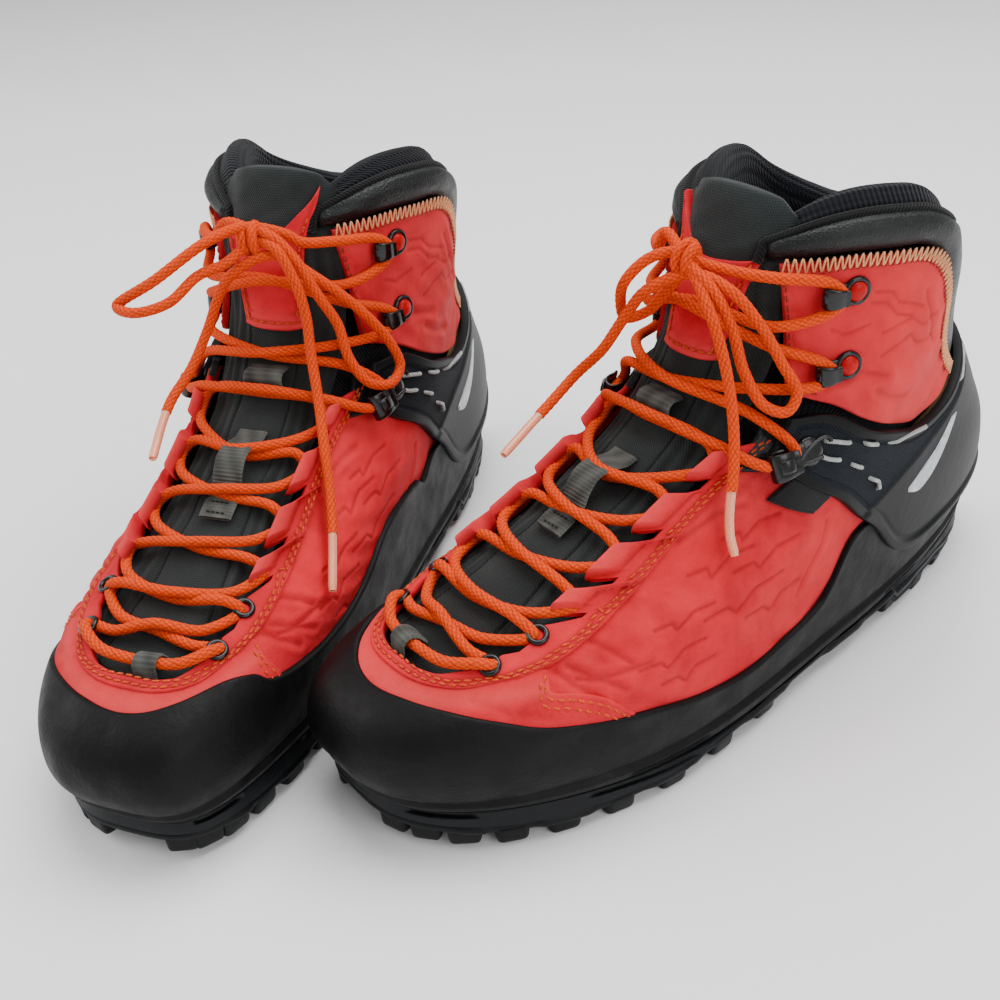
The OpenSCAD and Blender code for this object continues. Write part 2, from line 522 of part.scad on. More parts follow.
// The route's far end, and the point before it where the aglet takes over from the lace
function tip(route) = route[len(route) - 1];
function aglet_start(route) = let (n = len(route), d = unit(route[n - 2] - route[n - 1]))
    tip(route) + d * aglet_length;
function lace_points(route) = concat([for (i = [0 : len(route) - 2])
    if (i < len(route) - 3 || norm(route[i] - tip(route)) > aglet_length + 4) route[i]],
    [aglet_start(route)]);
module lace(route) {
    color(lace_orange) tube(lace_points(route), lace_diameter / 2);
}
module aglet(route) {
    d = unit(tip(route) - aglet_start(route));
    tube([aglet_start(route) + 0.05 * d, mix(aglet_start(route), tip(route), 0.5), tip(route)],
         lace_diameter / 2 - 0.3);
}
function bow_outer(left) = left ? LEFT_BOW_OUTER : RIGHT_BOW_OUTER;
function bow_inner(left) = left ? LEFT_BOW_INNER : RIGHT_BOW_INNER;

// ---------------------------------------------------------------- one boot
module piece(name, left) {
    if (name == "outsole") outsole();
    if (name == "midsole") midsole();
    if (name == "shank") shank();
    if (name == "insole_board") insole_board();
    if (name == "footbed") footbed();
    if (name == "toe_puff") toe_puff();
    if (name == "heel_counter") heel_counter();
    if (name == "lining") lining();
    if (name == "collar_lining") collar_lining();
    if (name == "vamp") vamp();
    if (name == "quarter_lateral") quarter(1);
    if (name == "quarter_medial") quarter(-1);
    if (name == "eyestay") eyestay();
    if (name == "cuff_lateral") cuff(1);
    if (name == "cuff_medial") cuff(-1);
    if (name == "collar_cover") collar_cover();
    if (name == "tongue") tongue();
    if (name == "tongue_pad") tongue_pad();
    if (name == "tongue_patch") tongue_patch();
    if (name == "webbing_loops") webbing_loops();
    if (name == "rand") rand();
    if (name == "heel_cage") heel_cage();
    if (name == "cage_cables") cage_cables();
    if (name == "flag_label") flag_label();
    if (name == "ring_eyelets") ring_eyelets();
    if (name == "lace_hooks") lace_hooks();
    if (name == "lock_hooks") lock_hooks();
    if (name == "lace_outer") lace(whole_route(1, bow_outer(left)));
    if (name == "lace_inner") lace(whole_route(-1, bow_inner(left)));
    if (name == "aglets") color("#f0b9a0") {
        aglet(whole_route(1, bow_outer(left)));
        aglet(whole_route(-1, bow_inner(left)));
    }
}
module left_boot(name) {
    translate([boot_offset_x, boot_offset_y + pair_shift_y, 0]) rotate(-toe_in) piece(name, true);
}
module right_boot(name) {
    translate([-boot_offset_x, pair_shift_y - boot_offset_y, 0]) rotate(toe_in) mirror([1, 0, 0])
        piece(name, false);
}

for (name = PIECES) {
    left_boot(name);
    right_boot(name);
}
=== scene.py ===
import bpy
import math
import numpy as np
from mathutils import Matrix, Vector
from mathutils.kdtree import KDTree


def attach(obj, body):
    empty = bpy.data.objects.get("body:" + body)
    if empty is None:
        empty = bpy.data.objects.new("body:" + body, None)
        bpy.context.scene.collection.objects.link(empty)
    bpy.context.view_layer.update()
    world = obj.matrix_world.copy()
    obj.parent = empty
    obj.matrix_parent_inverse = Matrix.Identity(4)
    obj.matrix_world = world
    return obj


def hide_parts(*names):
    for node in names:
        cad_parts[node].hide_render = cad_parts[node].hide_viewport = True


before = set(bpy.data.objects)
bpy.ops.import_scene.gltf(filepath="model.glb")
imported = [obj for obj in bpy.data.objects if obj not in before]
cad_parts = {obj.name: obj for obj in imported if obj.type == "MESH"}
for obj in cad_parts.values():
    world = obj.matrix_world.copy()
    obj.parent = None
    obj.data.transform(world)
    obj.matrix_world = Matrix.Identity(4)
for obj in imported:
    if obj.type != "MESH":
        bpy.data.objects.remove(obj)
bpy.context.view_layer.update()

MM = 0.001

# ------------------------------------------------------------------ the last, as in part.scad
BALL, WAIST, HEEL, CUFF = 48, 40, 42, 146
LAST = np.array([
    [0.00, -138, 19, 143, 20, BALL - 1, WAIST - 2, HEEL - 4, -9, 8, 0.62],
    [0.12, -144, 31, 147, 38, BALL, WAIST - 1, HEEL, -9, 5, 0.62],
    [0.24, -138, 44, 144, 56, BALL, WAIST, HEEL + 1, -8, 1, 0.66],
    [0.36, -118, 54, 135, 72, 45, WAIST + 1, HEEL, -6, 0, 0.76],
    [0.48, -90, 64, 126, 86, 39, WAIST + 1, HEEL - 1, -5, 0, 0.84],
    [0.60, -60, 77, 117, 98, 36, WAIST + 1, HEEL - 2, -4, 0, 0.92],
    [0.72, -28, 94, 110, 110, 36, WAIST + 2, HEEL - 3, -3, 0, 0.94],
    [0.86, -8, 118, 106, 126, 37, WAIST + 3, HEEL - 4, -2, 0, 0.94],
    [1.00, -2, CUFF, 103, 142, 38, WAIST + 3, HEEL - 4, 0, 0, 0.94],
    [1.16, 4, CUFF + 13, 101, 146, 39, WAIST + 3, HEEL - 4, 0, -12, 0.94],
    [1.30, 6, CUFF + 28, 101, 154, 40, WAIST + 3, HEEL - 4, 0, -14, 0.94]])
SLOPE = np.array([(LAST[min(10, i + 1)] - LAST[max(0, i - 1)])
                  / (LAST[min(10, i + 1)][0] - LAST[max(0, i - 1)][0]) for i in range(11)])


def smooth(a, b, v):
    """0 before a, 1 after b, with soft ends between them."""
    u = np.clip((v - a) / (b - a), 0, 1)
    return u * u * (3 - 2 * u)


def bell(v, width):
    return np.exp(-(v / width) ** 2)


def skin(a, t):
    """Point on the last's skin at angle a round the foot and level t up it."""
    a, t = np.broadcast_arrays(np.asarray(a, float), np.asarray(t, float))
    i = np.clip(np.searchsorted(LAST[:, 0], t, side="right") - 1, 0, 9)
    h = LAST[i + 1, 0] - LAST[i, 0]
    u = ((t - LAST[i, 0]) / h)[..., None]
    h = h[..., None]
    r = (LAST[i] * (1 + 2 * u) * (1 - u) ** 2 + SLOPE[i] * h * u * (1 - u) ** 2
         + LAST[i + 1] * u * u * (3 - 2 * u) + SLOPE[i + 1] * h * u * u * (u - 1))
    rad = np.radians(a)
    s = (1 - np.cos(rad)) / 2
    w = r[..., 5] + (r[..., 6] - r[..., 5]) * smooth(0.22, 0.62, s) \
        + (r[..., 7] - r[..., 6]) * smooth(0.62, 0.9, s)
    p = r[..., 10] + (0.85 - r[..., 10]) * smooth(0.3, 0.8, s)
    bulge = 3 * np.maximum(0, 1 - 2 * t) * 6.75 * s * (1 - s) ** 2
    sn = np.sin(rad)
    x = np.sign(sn) * w * np.abs(sn) ** p + r[..., 8] * (1 - s) ** 8 + bulge
    y = r[..., 1] + (r[..., 3] - r[..., 1]) * s
    z = r[..., 2] + (r[..., 4] - r[..., 2]) * s - r[..., 9] * np.sin(math.pi * s)
    return np.stack([x, y, z], -1)


def unit(v):
    return v / (np.linalg.norm(v, axis=-1, keepdims=True) + 1e-12)


def along(a, t):
    return unit(skin(a + 1, t) - skin(a - 1, t))


def outward(a, t):
    return unit(np.cross(along(a, t), skin(a, np.minimum(t + 0.01, 1.3))
                         - skin(a, np.maximum(t - 0.01, 0))))


def off(a, t, h):
    """Point of the last at an angle and a level, lifted off its skin by a height."""
    a, t, h = np.broadcast_arrays(np.asarray(a, float), np.asarray(t, float), np.asarray(h, float))
    return skin(a, t) + h[..., None] * outward(a, t)


def off_path(path):
    """Points of a path of [angle, level, height]."""
    return off(*np.array(path, float).T)


def on_skin(path, h=0.0):
    """Points of a path of [angle, level], all at one height."""
    q = np.asarray(path, float)
    return off(q[:, 0], q[:, 1], h)


# ------------------------------------------------------------------ placing and mesh building
TURN = math.radians(16)
COS, SIN = math.cos(TURN), math.sin(TURN)
OFFSET_X, OFFSET_Y, SHIFT_Y = 70, 25, -1.65
SIDES = ((1, "left"), (-1, "right"))


def placed(p, side):
    """Boot's own millimetres to the pair's frame in metres; side 1 left boot, -1 right boot."""
    p = np.asarray(p, float)
    x, y = p[..., 0], p[..., 1]
    return np.stack([side * (x * COS + y * SIN + OFFSET_X),
                     -x * SIN + y * COS + SHIFT_Y + OFFSET_Y * side, p[..., 2]], -1) * MM


def build(name, verts, faces, material, attrs=None, uv=None):
    """Mesh object of quads, with point attributes and texture places where they are given."""
    mesh = bpy.data.meshes.new(name)
    corners = faces.reshape(-1).astype(np.int32)
    mesh.vertices.add(len(verts))
    mesh.vertices.foreach_set("co", np.asarray(verts, np.float32).reshape(-1))
    mesh.loops.add(len(corners))
    mesh.loops.foreach_set("vertex_index", corners)
    mesh.polygons.add(len(faces))
    mesh.polygons.foreach_set("loop_start", np.arange(0, len(corners), 4, dtype=np.int32))
    mesh.polygons.foreach_set("loop_total", np.full(len(faces), 4, np.int32))
    mesh.update(calc_edges=True)
    mesh.polygons.foreach_set("use_smooth", np.full(len(faces), True))
    for key, values in (attrs or {}).items():
        layer = mesh.attributes.new(key, "FLOAT", "POINT")
        layer.data.foreach_set("value", np.asarray(values, np.float32).reshape(-1))
    if uv is not None:
        layer = mesh.uv_layers.new(name="UVMap")
        layer.data.foreach_set("uv", np.asarray(uv, np.float32)[corners].reshape(-1))
    mesh.validate()
    obj = bpy.data.objects.new(name, mesh)
    bpy.context.scene.collection.objects.link(obj)
    mesh.materials.append(material)
    return obj


def piece(name, verts, faces, material, slot, replaces=None, only=None, **more):
    """The same piece on both boots, mirrored; verts are the left boot's own millimetres."""
    made = []
    for side, word in SIDES:
        if only not in (None, side):
            continue
        obj = build(f"{word}_{name}", placed(verts, side), faces[:, ::side], material, **more)
        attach(obj, f"{word}_boot")
        if replaces:
            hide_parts(f"{word}_{replaces}")
        made.append(obj)
    return made


def merge(parts):
    """Several (verts, faces) joined in one; quads only."""
    verts, faces, base = [], [], 0
    for v, f in parts:
        v = np.asarray(v, float).reshape(-1, 3)
        verts.append(v)
        faces.append(np.asarray(f, int) + base)
        base += len(v)
    return np.concatenate(verts), np.concatenate(faces)


def grid_faces(nu, nv, wrap_u=False, wrap_v=False, base=0):
    iu = np.arange(nu if wrap_u else nu - 1)
    iv = np.arange(nv if wrap_v else nv - 1)
    i, j = np.meshgrid(iu, iv, indexing="ij")
    i2, j2 = (i + 1) % nu, (j + 1) % nv
    return base + np.stack([i * nv + j, i2 * nv + j, i2 * nv + j2, i * nv + j2], -1).reshape(-1, 4)


def distances(points):
    """Distance of each point of a line from its first one, along the line."""
    steps = np.linalg.norm(np.diff(points, axis=0), axis=1)
    return np.concatenate([[0], np.cumsum(steps)])


def frames(p):
    """Two side directions at each point of a line, carried along it without twist."""
    d = unit(np.gradient(p, axis=0))
    n = np.zeros_like(p)
    v = np.array([0.31, 0.52, 0.8])
    v = v - (v @ d[0]) * d[0]
    n[0] = v / np.linalg.norm(v)
    for i in range(1, len(p)):
        v = n[i - 1] - (n[i - 1] @ d[i]) * d[i]
        n[i] = v / (np.linalg.norm(v) + 1e-12)
    return n, np.cross(d, n)


def end_caps(start, count):
    """Strips of quads over a closed ring of points."""
    return np.array([[start + j, start + j + 1, start + count - 2 - j, start + count - 1 - j]
                     for j in range(count // 2 - 1)])


def tube(points, radius, sides=10, relief=0.0):
    """Round tube with closed ends; radius is a number or one per point, relief adds to it."""
    p = np.asarray(points, float)
    m = len(p)
    n, b = frames(p)
    r = np.broadcast_to(np.asarray(radius, float), (m,))[:, None] * np.ones((m, sides)) + relief
    k = np.arange(sides) * 2 * math.pi / sides
    ring = (p[:, None] + r[..., None] * (np.cos(k)[None, :, None] * n[:, None]
                                         + np.sin(k)[None, :, None] * b[:, None]))
    q = np.arange(0, sides, 2)
    fan = np.stack([q, q + 1, (q + 2) % sides], -1)
    first_end = np.insert(fan[:, ::-1], 0, m * sides, axis=1)
    last_end = np.insert(fan + (m - 1) * sides, 0, m * sides + 1, axis=1)
    return (np.vstack([ring.reshape(-1, 3), p[0], p[-1]]),
            np.vstack([grid_faces(m, sides, wrap_v=True), first_end, last_end]))


def spline(points, step):
    """Centripetal Catmull-Rom curve through the points, at even steps."""
    p = np.asarray(points, float)
    p = np.vstack([2 * p[0] - p[1], p, 2 * p[-1] - p[-2]])
    out = []
    for i in range(1, len(p) - 2):
        p0, p1, p2, p3 = p[i - 1:i + 3]
        t1 = max(np.linalg.norm(p1 - p0), 1e-6) ** 0.5
        t2 = t1 + max(np.linalg.norm(p2 - p1), 1e-6) ** 0.5
        t3 = t2 + max(np.linalg.norm(p3 - p2), 1e-6) ** 0.5
        t = np.linspace(t1, t2, 24, endpoint=False)[:, None]
        a1 = (t1 - t) / t1 * p0 + t / t1 * p1
        a2 = (t2 - t) / (t2 - t1) * p1 + (t - t1) / (t2 - t1) * p2
        a3 = (t3 - t) / (t3 - t2) * p2 + (t - t2) / (t3 - t2) * p3
        b1 = (t2 - t) / t2 * a1 + t / t2 * a2
        b2 = (t3 - t) / (t3 - t1) * a2 + (t - t1) / (t3 - t1) * a3
        out.append((t2 - t) / (t2 - t1) * b1 + (t - t1) / (t2 - t1) * b2)
    return even(np.vstack(out + [p[-2:-1]]), step)


def even(points, step):
    """The same line with its points at even steps."""
    p = np.asarray(points, float)
    run = distances(p)
    s = np.linspace(0, run[-1], max(2, int(run[-1] / step) + 1))
    return np.stack([np.interp(s, run, p[:, k]) for k in range(p.shape[1])], -1)


# ------------------------------------------------------------------ materials
class Paint:
    """A procedural material; its methods add nodes and return their outputs."""

    def __init__(self, name, **base):
        self.m = bpy.data.materials.new(name)
        self.m.use_nodes = True
        self.t = self.m.node_tree
        self.b = self.t.nodes["Principled BSDF"]
        self.co = self.add("ShaderNodeTexCoord").outputs["Object"]
        for key, value in base.items():
            self.put(self.b.inputs[key.replace("_", " ")], value)

    def add(self, kind, ins=None, **props):
        n = self.t.nodes.new(kind)
        for key, value in props.items():
            setattr(n, key, value)
        for key, value in (ins or {}).items():
            self.put(n.inputs[key], value)
        return n

    def put(self, socket, value):
        if isinstance(value, bpy.types.NodeSocket):
            self.t.links.new(value, socket)
        elif socket.type == "RGBA" and len(value) == 3:
            socket.default_value = (*value, 1)
        else:
            socket.default_value = value

    def set(self, **values):
        for key, value in values.items():
            self.put(self.b.inputs[key.replace("_", " ")], value)
        return self

    def noise(self, scale, detail=3, rough=0.55, distort=0.0):
        return self.add("ShaderNodeTexNoise", {
            "Vector": self.co, "Scale": scale, "Detail": detail, "Roughness": rough,
            "Distortion": distort}).outputs[0]

    def cells(self, scale):
        return self.add("ShaderNodeTexVoronoi", {"Vector": self.co,
                                                 "Scale": scale}).outputs["Distance"]

    def math(self, op, a, b=0.0, c=0.0, clamp=False):
        n = self.add("ShaderNodeMath", operation=op, use_clamp=clamp)
        for k, value in enumerate((a, b, c)):
            self.put(n.inputs[k], value)
        return n.outputs[0]

    def remap(self, value, lo, hi, to_lo=0.0, to_hi=1.0):
        return self.add("ShaderNodeMapRange", {
            "Value": value, "From Min": lo, "From Max": hi, "To Min": to_lo,
            "To Max": to_hi}).outputs[0]

    def mix(self, fac, a, b):
        n = self.add("ShaderNodeMix", data_type="RGBA")
        for k, value in ((0, fac), (6, a), (7, b)):
            self.put(n.inputs[k], value)
        return n.outputs[2]

    def attr(self, name):
        return self.add("ShaderNodeAttribute", attribute_name=name).outputs["Fac"]

    def uv(self):
        n = self.add("ShaderNodeSeparateXYZ", {"Vector": self.add("ShaderNodeUVMap").outputs[0]})
        return n.outputs[0], n.outputs[1]

    def bump(self, height, distance):
        return self.add("ShaderNodeBump", {"Height": height, "Distance": distance,
                                           "Strength": 1.0}).outputs[0]


def srgb(text):
    c = np.array([int(text[i:i + 2], 16) / 255 for i in (0, 2, 4)])
    return tuple(np.where(c <= 0.04045, c / 12.92, ((c + 0.055) / 1.055) ** 2.4))


def lace_paint():
    p = Paint("lace", Roughness=0.75, Sheen_Weight=0.04, Sheen_Roughness=0.5, Specular_IOR_Level=0.15)
    dips = p.attr("weave")
    dirt = p.remap(p.noise(22, 3), 0.45, 0.75)
    # painted shade: the braid's hollows, where the weave relief is low, darken to deep red
    base = p.mix(dips, srgb("8e1c02"), srgb("ff5206"))
    p.set(Base_Color=p.mix(p.math("MULTIPLY", dirt, 0.3), base, srgb("d8430a")),
          Sheen_Tint=srgb("ff9a60"))
    p.set(Normal=p.bump(p.math("ADD", p.math("MULTIPLY", dips, 0.7), p.noise(3500, 2)), 0.0002))
    return p.m


def aglet_paint():
    p = Paint("aglet", Roughness=0.3, Coat_Weight=0.5, Coat_Roughness=0.15,
              Subsurface_Weight=0.25, Subsurface_Scale=0.003)
    weave = p.attr("weave")
    p.set(Base_Color=p.mix(p.math("MULTIPLY", p.math("SUBTRACT", 1.0, weave), 0.75),
                           srgb("eda684"), srgb("e8642c")))
    p.set(Normal=p.bump(p.noise(900, 2), 0.00015))
    return p.m


LACE, AGLET = lace_paint(), aglet_paint()

# ------------------------------------------------------------------ laces
LADDER = [[-0.5, 0.375, 1.2, 1.2], [12, 0.37, 2.6, 2.6], [22, 0.37, 4, 4], [25, 0.374, 1.5, 1.5],
          [14, 0.4, 0.5, 0.5], [0, 0.425, 3.6, -0.3], [-16, 0.42, 0.5, 0.5],
          [-29, 0.421, 1.5, 1.5], [-22, 0.445, 4, 4], [0, 0.472, -0.3, 3.6], [24, 0.46, 2, 2],
          [34, 0.47, 1.4, 1.4], [26, 0.505, 2, 2], [0, 0.545, 3.6, -0.3], [-26, 0.535, 2, 2],
          [-36, 0.54, 1.4, 1.4], [-28, 0.58, 2, 2], [0, 0.618, -0.3, 3.6], [28, 0.61, 2, 2],
          [38, 0.62, 1.4, 1.4], [30, 0.652, 2, 2], [0, 0.67, 3.6, -0.3], [-30, 0.675, 2, 2],
          [-40, 0.685, 1.4, 1.4], [-34, 0.722, 2, 2], [0, 0.76, -0.3, 3.6], [34, 0.725, 4.5, 4.5],
          [60, 0.655, 6, 6], [66, 0.662, 6.4, 6.4], [62, 0.69, 6, 6], [40, 0.775, 4.5, 4.5],
          [0, 0.82, 3.6, -0.3], [-36, 0.82, 4.5, 4.5], [-60, 0.805, 3.3, 3.3],
          [-64, 0.822, 3.3, 3.3], [-58, 0.85, 3.3, 3.3], [-36, 0.895, 4.5, 4.5],
          [0, 0.94, -0.3, 3.6], [36, 0.925, 4.5, 4.5], [56, 0.94, 3.3, 3.3],
          [60, 0.962, 3.3, 3.3], [54, 0.99, 3.3, 3.3], [34, 1.005, 4.6, 4.6],
          [20, 1.01, 6, 6]]
LEFT_BOW_OUTER = [[6, 1.015, 9], [-2, 1.02, 12], [-7, 1, 16], [-10, 0.97, 20], [-15, 0.93, 18],
                  [-17, 0.89, 14], [-13, 0.91, 9], [-4, 0.96, 8], [5, 1, 11], [16, 0.96, 16],
                  [22, 0.9, 16], [29, 0.82, 14], [38, 0.74, 11], [49, 0.66, 8], [57, 0.59, 6],
                  [63, 0.52, 5], [68, 0.45, 5]]
LEFT_BOW_INNER = [[-15, 1.05, 7], [-4, 1.03, 8], [5, 1.01, 12], [16, 0.98, 13], [23, 0.93, 12],
                  [31, 0.85, 10], [42, 0.79, 9], [50, 0.775, 9], [50, 0.81, 9], [41, 0.87, 9],
                  [32, 0.93, 9], [20, 0.985, 11], [6, 0.995, 10], [-5, 0.96, 16], [-11, 0.9, 18],
                  [-17, 0.81, 18], [-29, 0.73, 18], [-34, 0.66, 18], [-31, 0.62, 18],
                  [-27, 0.585, 18]]
RIGHT_BOW_OUTER = [[12, 1.05, 7], [0, 1.04, 9], [-11, 1.02, 12], [-18, 0.98, 12],
                   [-24, 0.92, 12], [-31, 0.86, 10], [-38, 0.79, 9], [-50, 0.725, 9],
                   [-63, 0.69, 9], [-65, 0.72, 9], [-56, 0.79, 9], [-40, 0.88, 9],
                   [-24, 0.95, 10], [-10, 0.99, 11], [4, 0.96, 14], [11, 0.92, 14],
                   [16, 0.84, 16], [20, 0.75, 18], [24, 0.68, 20], [24, 0.65, 20],
                   [19, 0.6, 20]]
RIGHT_BOW_INNER = [[-14, 1.03, 8], [-1, 1.04, 12], [4, 1.01, 25], [12, 0.97, 38], [20, 0.93, 45],
                   [14, 0.925, 45], [9, 0.94, 38], [6, 0.97, 28], [3, 0.98, 18], [-3, 1.01, 10],
                   [-12, 1, 14], [-17, 0.95, 15], [-19, 0.89, 14], [-22, 0.81, 12],
                   [-30, 0.72, 10], [-42, 0.63, 8], [-51, 0.54, 6], [-57, 0.43, 5],
                   [-58, 0.31, 5]]
BOWS = {("left", "outer"): LEFT_BOW_OUTER, ("left", "inner"): LEFT_BOW_INNER,
        ("right", "outer"): RIGHT_BOW_OUTER, ("right", "inner"): RIGHT_BOW_INNER}
AGLET_LENGTH, LACE_RADIUS, LACE_STEP = 20, 1.8, 0.45


def weave(length_mm, count, sides, pitch=2.5, around=7):
    """Diamond relief of a round braid, one value per ring point."""
    u = np.linspace(0, length_mm / pitch, count)[:, None]
    v = np.arange(sides)[None, :] * around / sides
    return np.abs(np.sin(math.pi * (u + v)) * np.sin(math.pi * (u - v))) ** 0.6


def braid(name, line, radius, sides, depth, material, **more):
    """Tube along a line with the round braid's relief, on one boot."""
    relief = weave(distances(line)[-1], len(line), sides)
    v, f = tube(line, radius, sides, relief=depth * (relief - 0.5))
    return piece(name, v, f, material, attrs={"weave": np.append(relief, [0.5, 0.5])}, **more)[0]


def knot(side):
    """Turn of lace round the crossing of the bow."""
    angle = 3 if side > 0 else -2
    turn = np.radians(np.linspace(-60, 430, 70))
    centre, n, e = off(angle, 1.018, 9.6), outward(angle, 1.018), along(angle, 1.018)
    rise = np.cross(n, e)
    lean = (turn / math.pi - 1)[:, None] * 1.9
    ring = centre + 3.5 * np.cos(turn)[:, None] * n + 4.2 * np.sin(turn)[:, None] * rise + lean * e
    return braid("lace_knot", spline(ring, LACE_STEP), LACE_RADIUS - 0.1, 20, 0.26, LACE,
                 slot="lace", only=side)


def lace_half(side, word, half):
    """One half of a lace, from the toe loop to its tip."""
    first = half == "outer"
    route = [[(1 if first else -1) * q[0], q[1], q[2] if first else q[3]] for q in LADDER]
    line = spline(off_path(route + BOWS[word, half]), LACE_STEP)
    run = distances(line)
    cut = int(np.searchsorted(run, run[-1] - AGLET_LENGTH))
    body, end = line[:cut + 1], even(line[cut:], LACE_STEP)
    obj = braid(f"lace_{half}", body, LACE_RADIUS - 0.1, 20, 0.26, LACE, slot="lace",
                replaces=f"lace_{half}", only=side)
    taper = 0.25 * smooth(0.9, 1, np.linspace(0, 1, len(end)))
    tip = braid(f"aglet_{half}", end, LACE_RADIUS - 0.35 - taper, 16, 0.1, AGLET, slot="aglet",
                replaces="aglets", only=side)
    path = placed(body[::4], side)
    path = np.vstack([path, placed(body[-1:], side)]) if (len(body) - 1) % 4 else path
    tuple(path[0])
    round(distances(path)[-1], 3)
    [tuple(q) for q in path]
    [tip, knot(side)] if first else [tip]


# Camera and cords come first.
AZ, EL, ROLL = math.radians(37.3), math.radians(30.9), math.radians(-3.5)
back = Vector((math.sin(AZ) * math.cos(EL), -math.cos(AZ) * math.cos(EL), math.sin(EL)))
right = (-back).cross(Vector((0, 0, 1))).normalized()
up = right.cross(-back)
turned = right * math.cos(ROLL) + up * math.sin(ROLL)
raised = -right * math.sin(ROLL) + up * math.cos(ROLL)
camera_data = bpy.data.cameras.new("view")
camera_data.sensor_width = 36
camera_data.lens = 44.2
camera_data.dof.use_dof = False
camera = bpy.data.objects.new("view", camera_data)
bpy.context.scene.collection.objects.link(camera)
place = Vector((0.0089, -0.0075, 0.0588)) + back * 0.4326
camera.matrix_world = Matrix(((turned.x, raised.x, back.x, place.x),
                              (turned.y, raised.y, back.y, place.y),
                              (turned.z, raised.z, back.z, place.z), (0, 0, 0, 1)))
bpy.context.scene.camera = camera

for side, word in SIDES:
    for half in ("outer", "inner"):
        lace_half(side, word, half)


def nubuck_paint():
    p = Paint("nubuck", Roughness=0.8, Sheen_Weight=0.06, Sheen_Roughness=0.4, Specular_IOR_Level=0.18)
    cloud = p.remap(p.noise(24, 5, 0.62, 0.8), 0.33, 0.7)
    patch = p.remap(p.noise(75, 4, 0.6, 0.4), 0.4, 0.72)
    base = p.mix(cloud, srgb("b4101e"), srgb("d81e2c"))
    base = p.mix(p.math("MULTIPLY", patch, 0.35), base, srgb("ec3a42"))
    base = p.mix(p.math("MULTIPLY", p.attr("pale"), 0.75, clamp=True), base, srgb("e45c58"))
    # painted shade: deep red where the dark attribute marks grooves, creases, seams and the lips of the
    # lace tabs
    base = p.mix(p.math("MULTIPLY", p.attr("dark"), 0.85, clamp=True), base, srgb("5c0a0a"))
    p.set(Base_Color=base, Sheen_Tint=srgb("ff9a90"))
    grain = p.math("ADD", p.math("MULTIPLY", p.noise(1500, 3, 0.6), 0.5),
                   p.math("MULTIPLY", p.noise(330, 4, 0.6), 0.8))
    p.set(Normal=p.bump(grain, 0.00035))
    return p.m


def rubber_paint(name, dark, light, rough, blue=0.0):
    """Moulded rubber or foam: faint mottling, paler where the pale attribute says (scuffs on the rand, the
    top edge of the midsole), painted shade where the dark attribute says, soft gloss.
    """
    p = Paint(name, Specular_IOR_Level=0.15)
    worn = p.remap(p.noise(60, 5, 0.65, 0.5), 0.45, 0.75)
    base = p.mix(p.math("MULTIPLY", worn, 0.6), srgb(dark), srgb(light))
    specks = p.remap(p.cells(420), 0.06, 0.02)
    specks = p.math("MULTIPLY", specks, p.remap(p.noise(45, 2), 0.52, 0.6))
    base = p.mix(p.math("MULTIPLY", specks, 0.5, clamp=True), base, srgb("3c3b38"))
    base = p.mix(p.math("MULTIPLY", p.attr("pale"), 0.6, clamp=True), base, srgb("4b4843"))
    # painted shade: near black where the dark attribute marks grooves, slots and gashes, and under the
    # midsole's overhang
    base = p.mix(p.attr("dark"), base, srgb("050506"))
    p.set(Base_Color=base, Roughness=p.remap(p.noise(110, 4), 0.3, 0.7, rough - 0.08, rough + 0.1))
    if blue:
        p.set(Coat_Weight=blue, Coat_Roughness=0.35, Coat_Tint=srgb("b9cbe6"))
    p.set(Normal=p.bump(p.math("ADD", p.math("MULTIPLY", p.noise(900, 3), 0.4),
                               p.noise(150, 3)), 0.0003))
    return p.m


def cage_paint():
    """Moulded plastic whose upper band has the texture of cloth."""
    p = Paint("cage", Specular_IOR_Level=0.14)
    cloth = p.attr("cloth")
    u, v = p.uv()
    knit = p.math("MULTIPLY", p.math("SINE", p.math("MULTIPLY", p.math("ADD", u, v), 4400)),
                  p.math("SINE", p.math("MULTIPLY", p.math("SUBTRACT", u, v), 4400)))
    knit = p.math("MULTIPLY", p.remap(knit, -1, 1), cloth)
    worn = p.remap(p.noise(50, 4, 0.6), 0.4, 0.75)
    base = p.mix(p.math("MULTIPLY", worn, 0.5), srgb("070809"), srgb("101113"))
    base = p.mix(p.math("MULTIPLY", knit, 0.75), base, srgb("2a303a"))
    # painted shade: near black in the slots where the cables go in
    base = p.mix(p.attr("dark"), base, srgb("030304"))
    p.set(Base_Color=base, Roughness=p.remap(cloth, 0, 1, 0.46, 0.7))
    grain = p.math("MULTIPLY", p.noise(260, 3), 0.25)
    p.set(Normal=p.bump(p.math("ADD", p.math("MULTIPLY", knit, 0.8), grain), 0.0004))
    return p.m


def cloth_paint(name, dark, light, twill, rough=0.85, sheen=0.3, bump=0.0004):
    """Woven or knitted cloth; twill is the number of ribs in a metre along each way."""
    p = Paint(name, Roughness=rough, Sheen_Weight=sheen * 0.3, Sheen_Roughness=0.5, Specular_IOR_Level=0.15)
    u, v = p.uv()
    a = p.math("SINE", p.math("MULTIPLY", p.math("ADD", u, p.math("MULTIPLY", v, 0.5)), twill[0]))
    b = p.math("SINE", p.math("MULTIPLY", v, twill[1]))
    rib = p.remap(p.math("ADD", a, p.math("MULTIPLY", b, 0.6)), -1.6, 1.6)
    cloud = p.remap(p.noise(55, 4, 0.6), 0.35, 0.7)
    base = p.mix(p.math("ADD", p.math("MULTIPLY", rib, 0.6), p.math("MULTIPLY", cloud, 0.4)),
                 srgb(dark), srgb(light))
    # painted shade: near black where the dark attribute marks seam grooves, such as the tongue's
    base = p.mix(p.attr("dark"), base, srgb("0a0b0b"))
    p.set(Base_Color=base, Normal=p.bump(p.math("ADD", rib, p.math("MULTIPLY", p.noise(2600, 2), 0.5)),
                                         bump))
    return p.m


